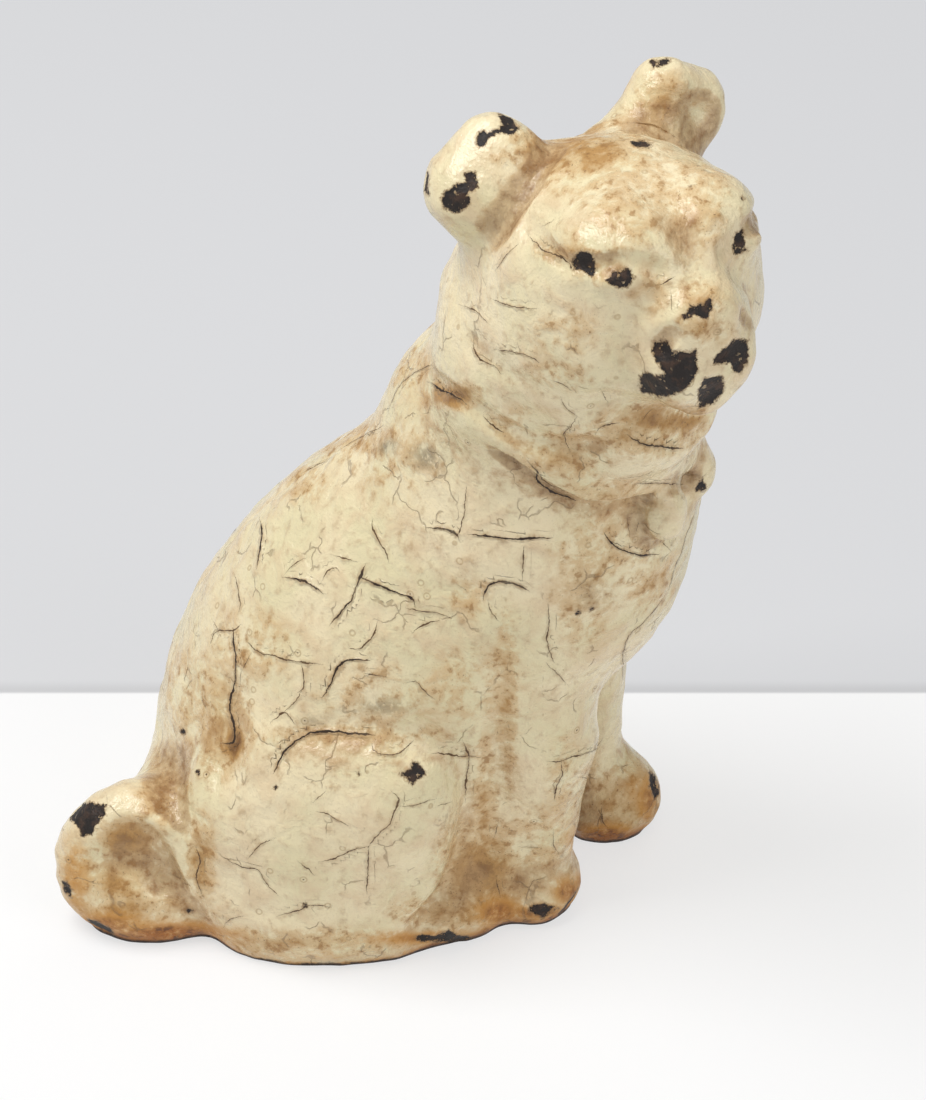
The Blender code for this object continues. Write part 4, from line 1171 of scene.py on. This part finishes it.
def make_screw(parts, cutters):
    """A turned profile from the middle of the domed head down to the middle of the tip."""
    seat, length = HEAD_HEIGHT, HEAD_HEIGHT + SCREW_SEAT_X - SCREW_TIP_X
    dome = HEAD_HEIGHT - HEAD_EDGE
    arc = [(HEAD_RADIUS * sin(a), -dome + dome * cos(a)) for a in np.linspace(0, pi / 2, 14)]
    outline = arc + [(HEAD_RADIUS, -seat), (SCREW_RADIUS, -seat), (SCREW_RADIUS, -length + SCREW_CHAMFER),
                     (SCREW_RADIUS - SCREW_CHAMFER, -length), (0, -length)]
    bm = bmesh.new()
    ring = [bm.verts.new((r, 0, z)) for r, z in outline]
    edges = [bm.edges.new(pair) for pair in zip(ring[:-1], ring[1:])]
    bmesh.ops.spin(bm, geom=ring + edges, axis=(0, 0, 1), cent=(0, 0, 0), angle=2 * pi, steps=ROUND_SIDES,
                   use_merge=True)
    bmesh.ops.remove_doubles(bm, verts=bm.verts, dist=0.0005)
    bmesh.ops.recalc_face_normals(bm, faces=bm.faces)
    screw = finish_mesh("tie_screw_rusty", bm, parts)
    bm = bmesh.new()
    bmesh.ops.create_cube(bm, size=1, matrix=Matrix.Rotation(radians(SLOT_TURN), 4, "Z")
                          @ Matrix.Diagonal((4 * HEAD_RADIUS, SLOT_WIDTH, 2 * SLOT_DEPTH, 1)))
    boolean(screw, finish_mesh("screw_slot", bm, cutters), "DIFFERENCE")
    bake_modifiers(screw)
    top = Matrix.Translation((SCREW_SEAT_X + HEAD_HEIGHT, *SCREW_AT))
    screw.data.transform(top @ Matrix.Rotation(pi / 2, 4, "Y"))
    to_row_frame(screw)
    smooth_faces(screw, SCREW_SHARP_ANGLE)
    return screw


def clothe(thing, material, node):
    thing.data.materials.clear()
    thing.data.materials.append(material)
    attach(thing, "root")
    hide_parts(node)


def make_floor(collection):
    """A pale table whose far part is a shade greyer, from the line that the photograph shows."""
    bm = bmesh.new()
    bmesh.ops.create_grid(bm, x_segments=1, y_segments=1, size=FLOOR_REACH)
    floor = finish_mesh("floor", bm, collection)
    floor.location.z = -FLOOR_DROP * MM
    nodes = Nodes("pale_table")
    across = Vector((-BACK[0], -BACK[1], 0)).normalized()
    depth = nodes.add("ShaderNodeVectorMath", {0: nodes.place, 1: across}, operation="DOT_PRODUCT")
    edge = (Vector(AIM - (*CENTRE, 0)).dot(across)) + WALL_DEPTH
    far = nodes.ramp(depth.outputs["Value"], edge - 0.4, edge + 0.8)
    # A darker strip where the far part starts is a painted shadow line at the foot of the wall
    foot = nodes.product(far, nodes.ramp(depth.outputs["Value"], edge + 5, edge + 0.8))
    colour = nodes.mix(far, TABLE, FAR_TABLE)
    glow = nodes.mix(far, TABLE_GLOW, FAR_TABLE_GLOW)
    glow = nodes.mix(nodes.product(foot, 0.55), glow, WALL_FOOT_SHADE_GLOW)
    matte = nodes.add("ShaderNodeBsdfDiffuse", {"Color": colour}).outputs[0]
    light = nodes.add("ShaderNodeEmission", {"Color": glow, "Strength": 1.0}).outputs[0]
    path = nodes.add("ShaderNodeLightPath", {}).outputs
    looked_at = nodes.most(path["Is Camera Ray"], path["Is Glossy Ray"], path["Is Transmission Ray"])
    glowing = nodes.math("MULTIPLY", looked_at, FLOOR_GLOW)
    shader = nodes.add("ShaderNodeMixShader", {0: glowing, 1: matte, 2: light})
    nodes.add("ShaderNodeOutputMaterial", {"Surface": shader.outputs[0]})
    floor.data.materials.append(nodes.material)


def add_lamp(name, direction, distance, size, power, collection):
    """A square soft box that faces the pup from this direction."""
    lamp = bpy.data.lights.new(name, "AREA")
    lamp.shape = "SQUARE"
    lamp.size = size
    lamp.energy = power
    thing = bpy.data.objects.new(name, lamp)
    collection.objects.link(thing)
    direction = Vector(direction).normalized()
    thing.location = Vector(AIM * MM) + direction * distance
    thing.rotation_euler = direction.to_track_quat("Z", "Y").to_euler()


def light_and_camera(collection):
    above = np.array((0, 0, 1.0))
    for name, up, right, back, distance, size, power in LAMPS:
        add_lamp(name, up * above + right * RIGHT + back * BACK, distance, size, power, collection)
    world = bpy.data.worlds.new("studio")
    world.use_nodes = True
    background = world.node_tree.nodes["Background"]
    background.inputs["Color"].default_value = (1, 1, 1, 1)
    background.inputs["Strength"].default_value = WORLD_STRENGTH
    bpy.context.scene.world = world

    camera = bpy.data.cameras.new("photo_camera")
    camera.lens = LENS
    camera.sensor_width = SENSOR
    camera.sensor_fit = "AUTO"
    camera.clip_start = 0.01
    thing = bpy.data.objects.new("photo_camera", camera)
    collection.objects.link(thing)
    turn = Matrix((RIGHT, UP, BACK)).transposed().to_4x4()
    thing.matrix_world = Matrix.Translation((EYE - (*CENTRE, 0)) * MM) @ turn
    bpy.context.scene.camera = thing


def main():
    scene = bpy.context.scene
    scene.view_settings.view_transform = "Standard"
    names = ("dressed_parts", "studio", "cutters")
    parts, studio, cutters = (bpy.data.collections.new(name) for name in names)
    for collection in (parts, studio, cutters):
        scene.collection.children.link(collection)
    right, left = make_castings(parts, cutters)
    screw = make_screw(parts, cutters)
    enamel = make_enamel()
    clothe(right, enamel, "right_half_casting")
    clothe(left, enamel, "left_half_casting")
    clothe(screw, make_steel(), "tie_screw")
    for thing in list(cutters.objects):
        bpy.data.objects.remove(thing, do_unlink=True)
    make_floor(studio)
    light_and_camera(studio)


main()
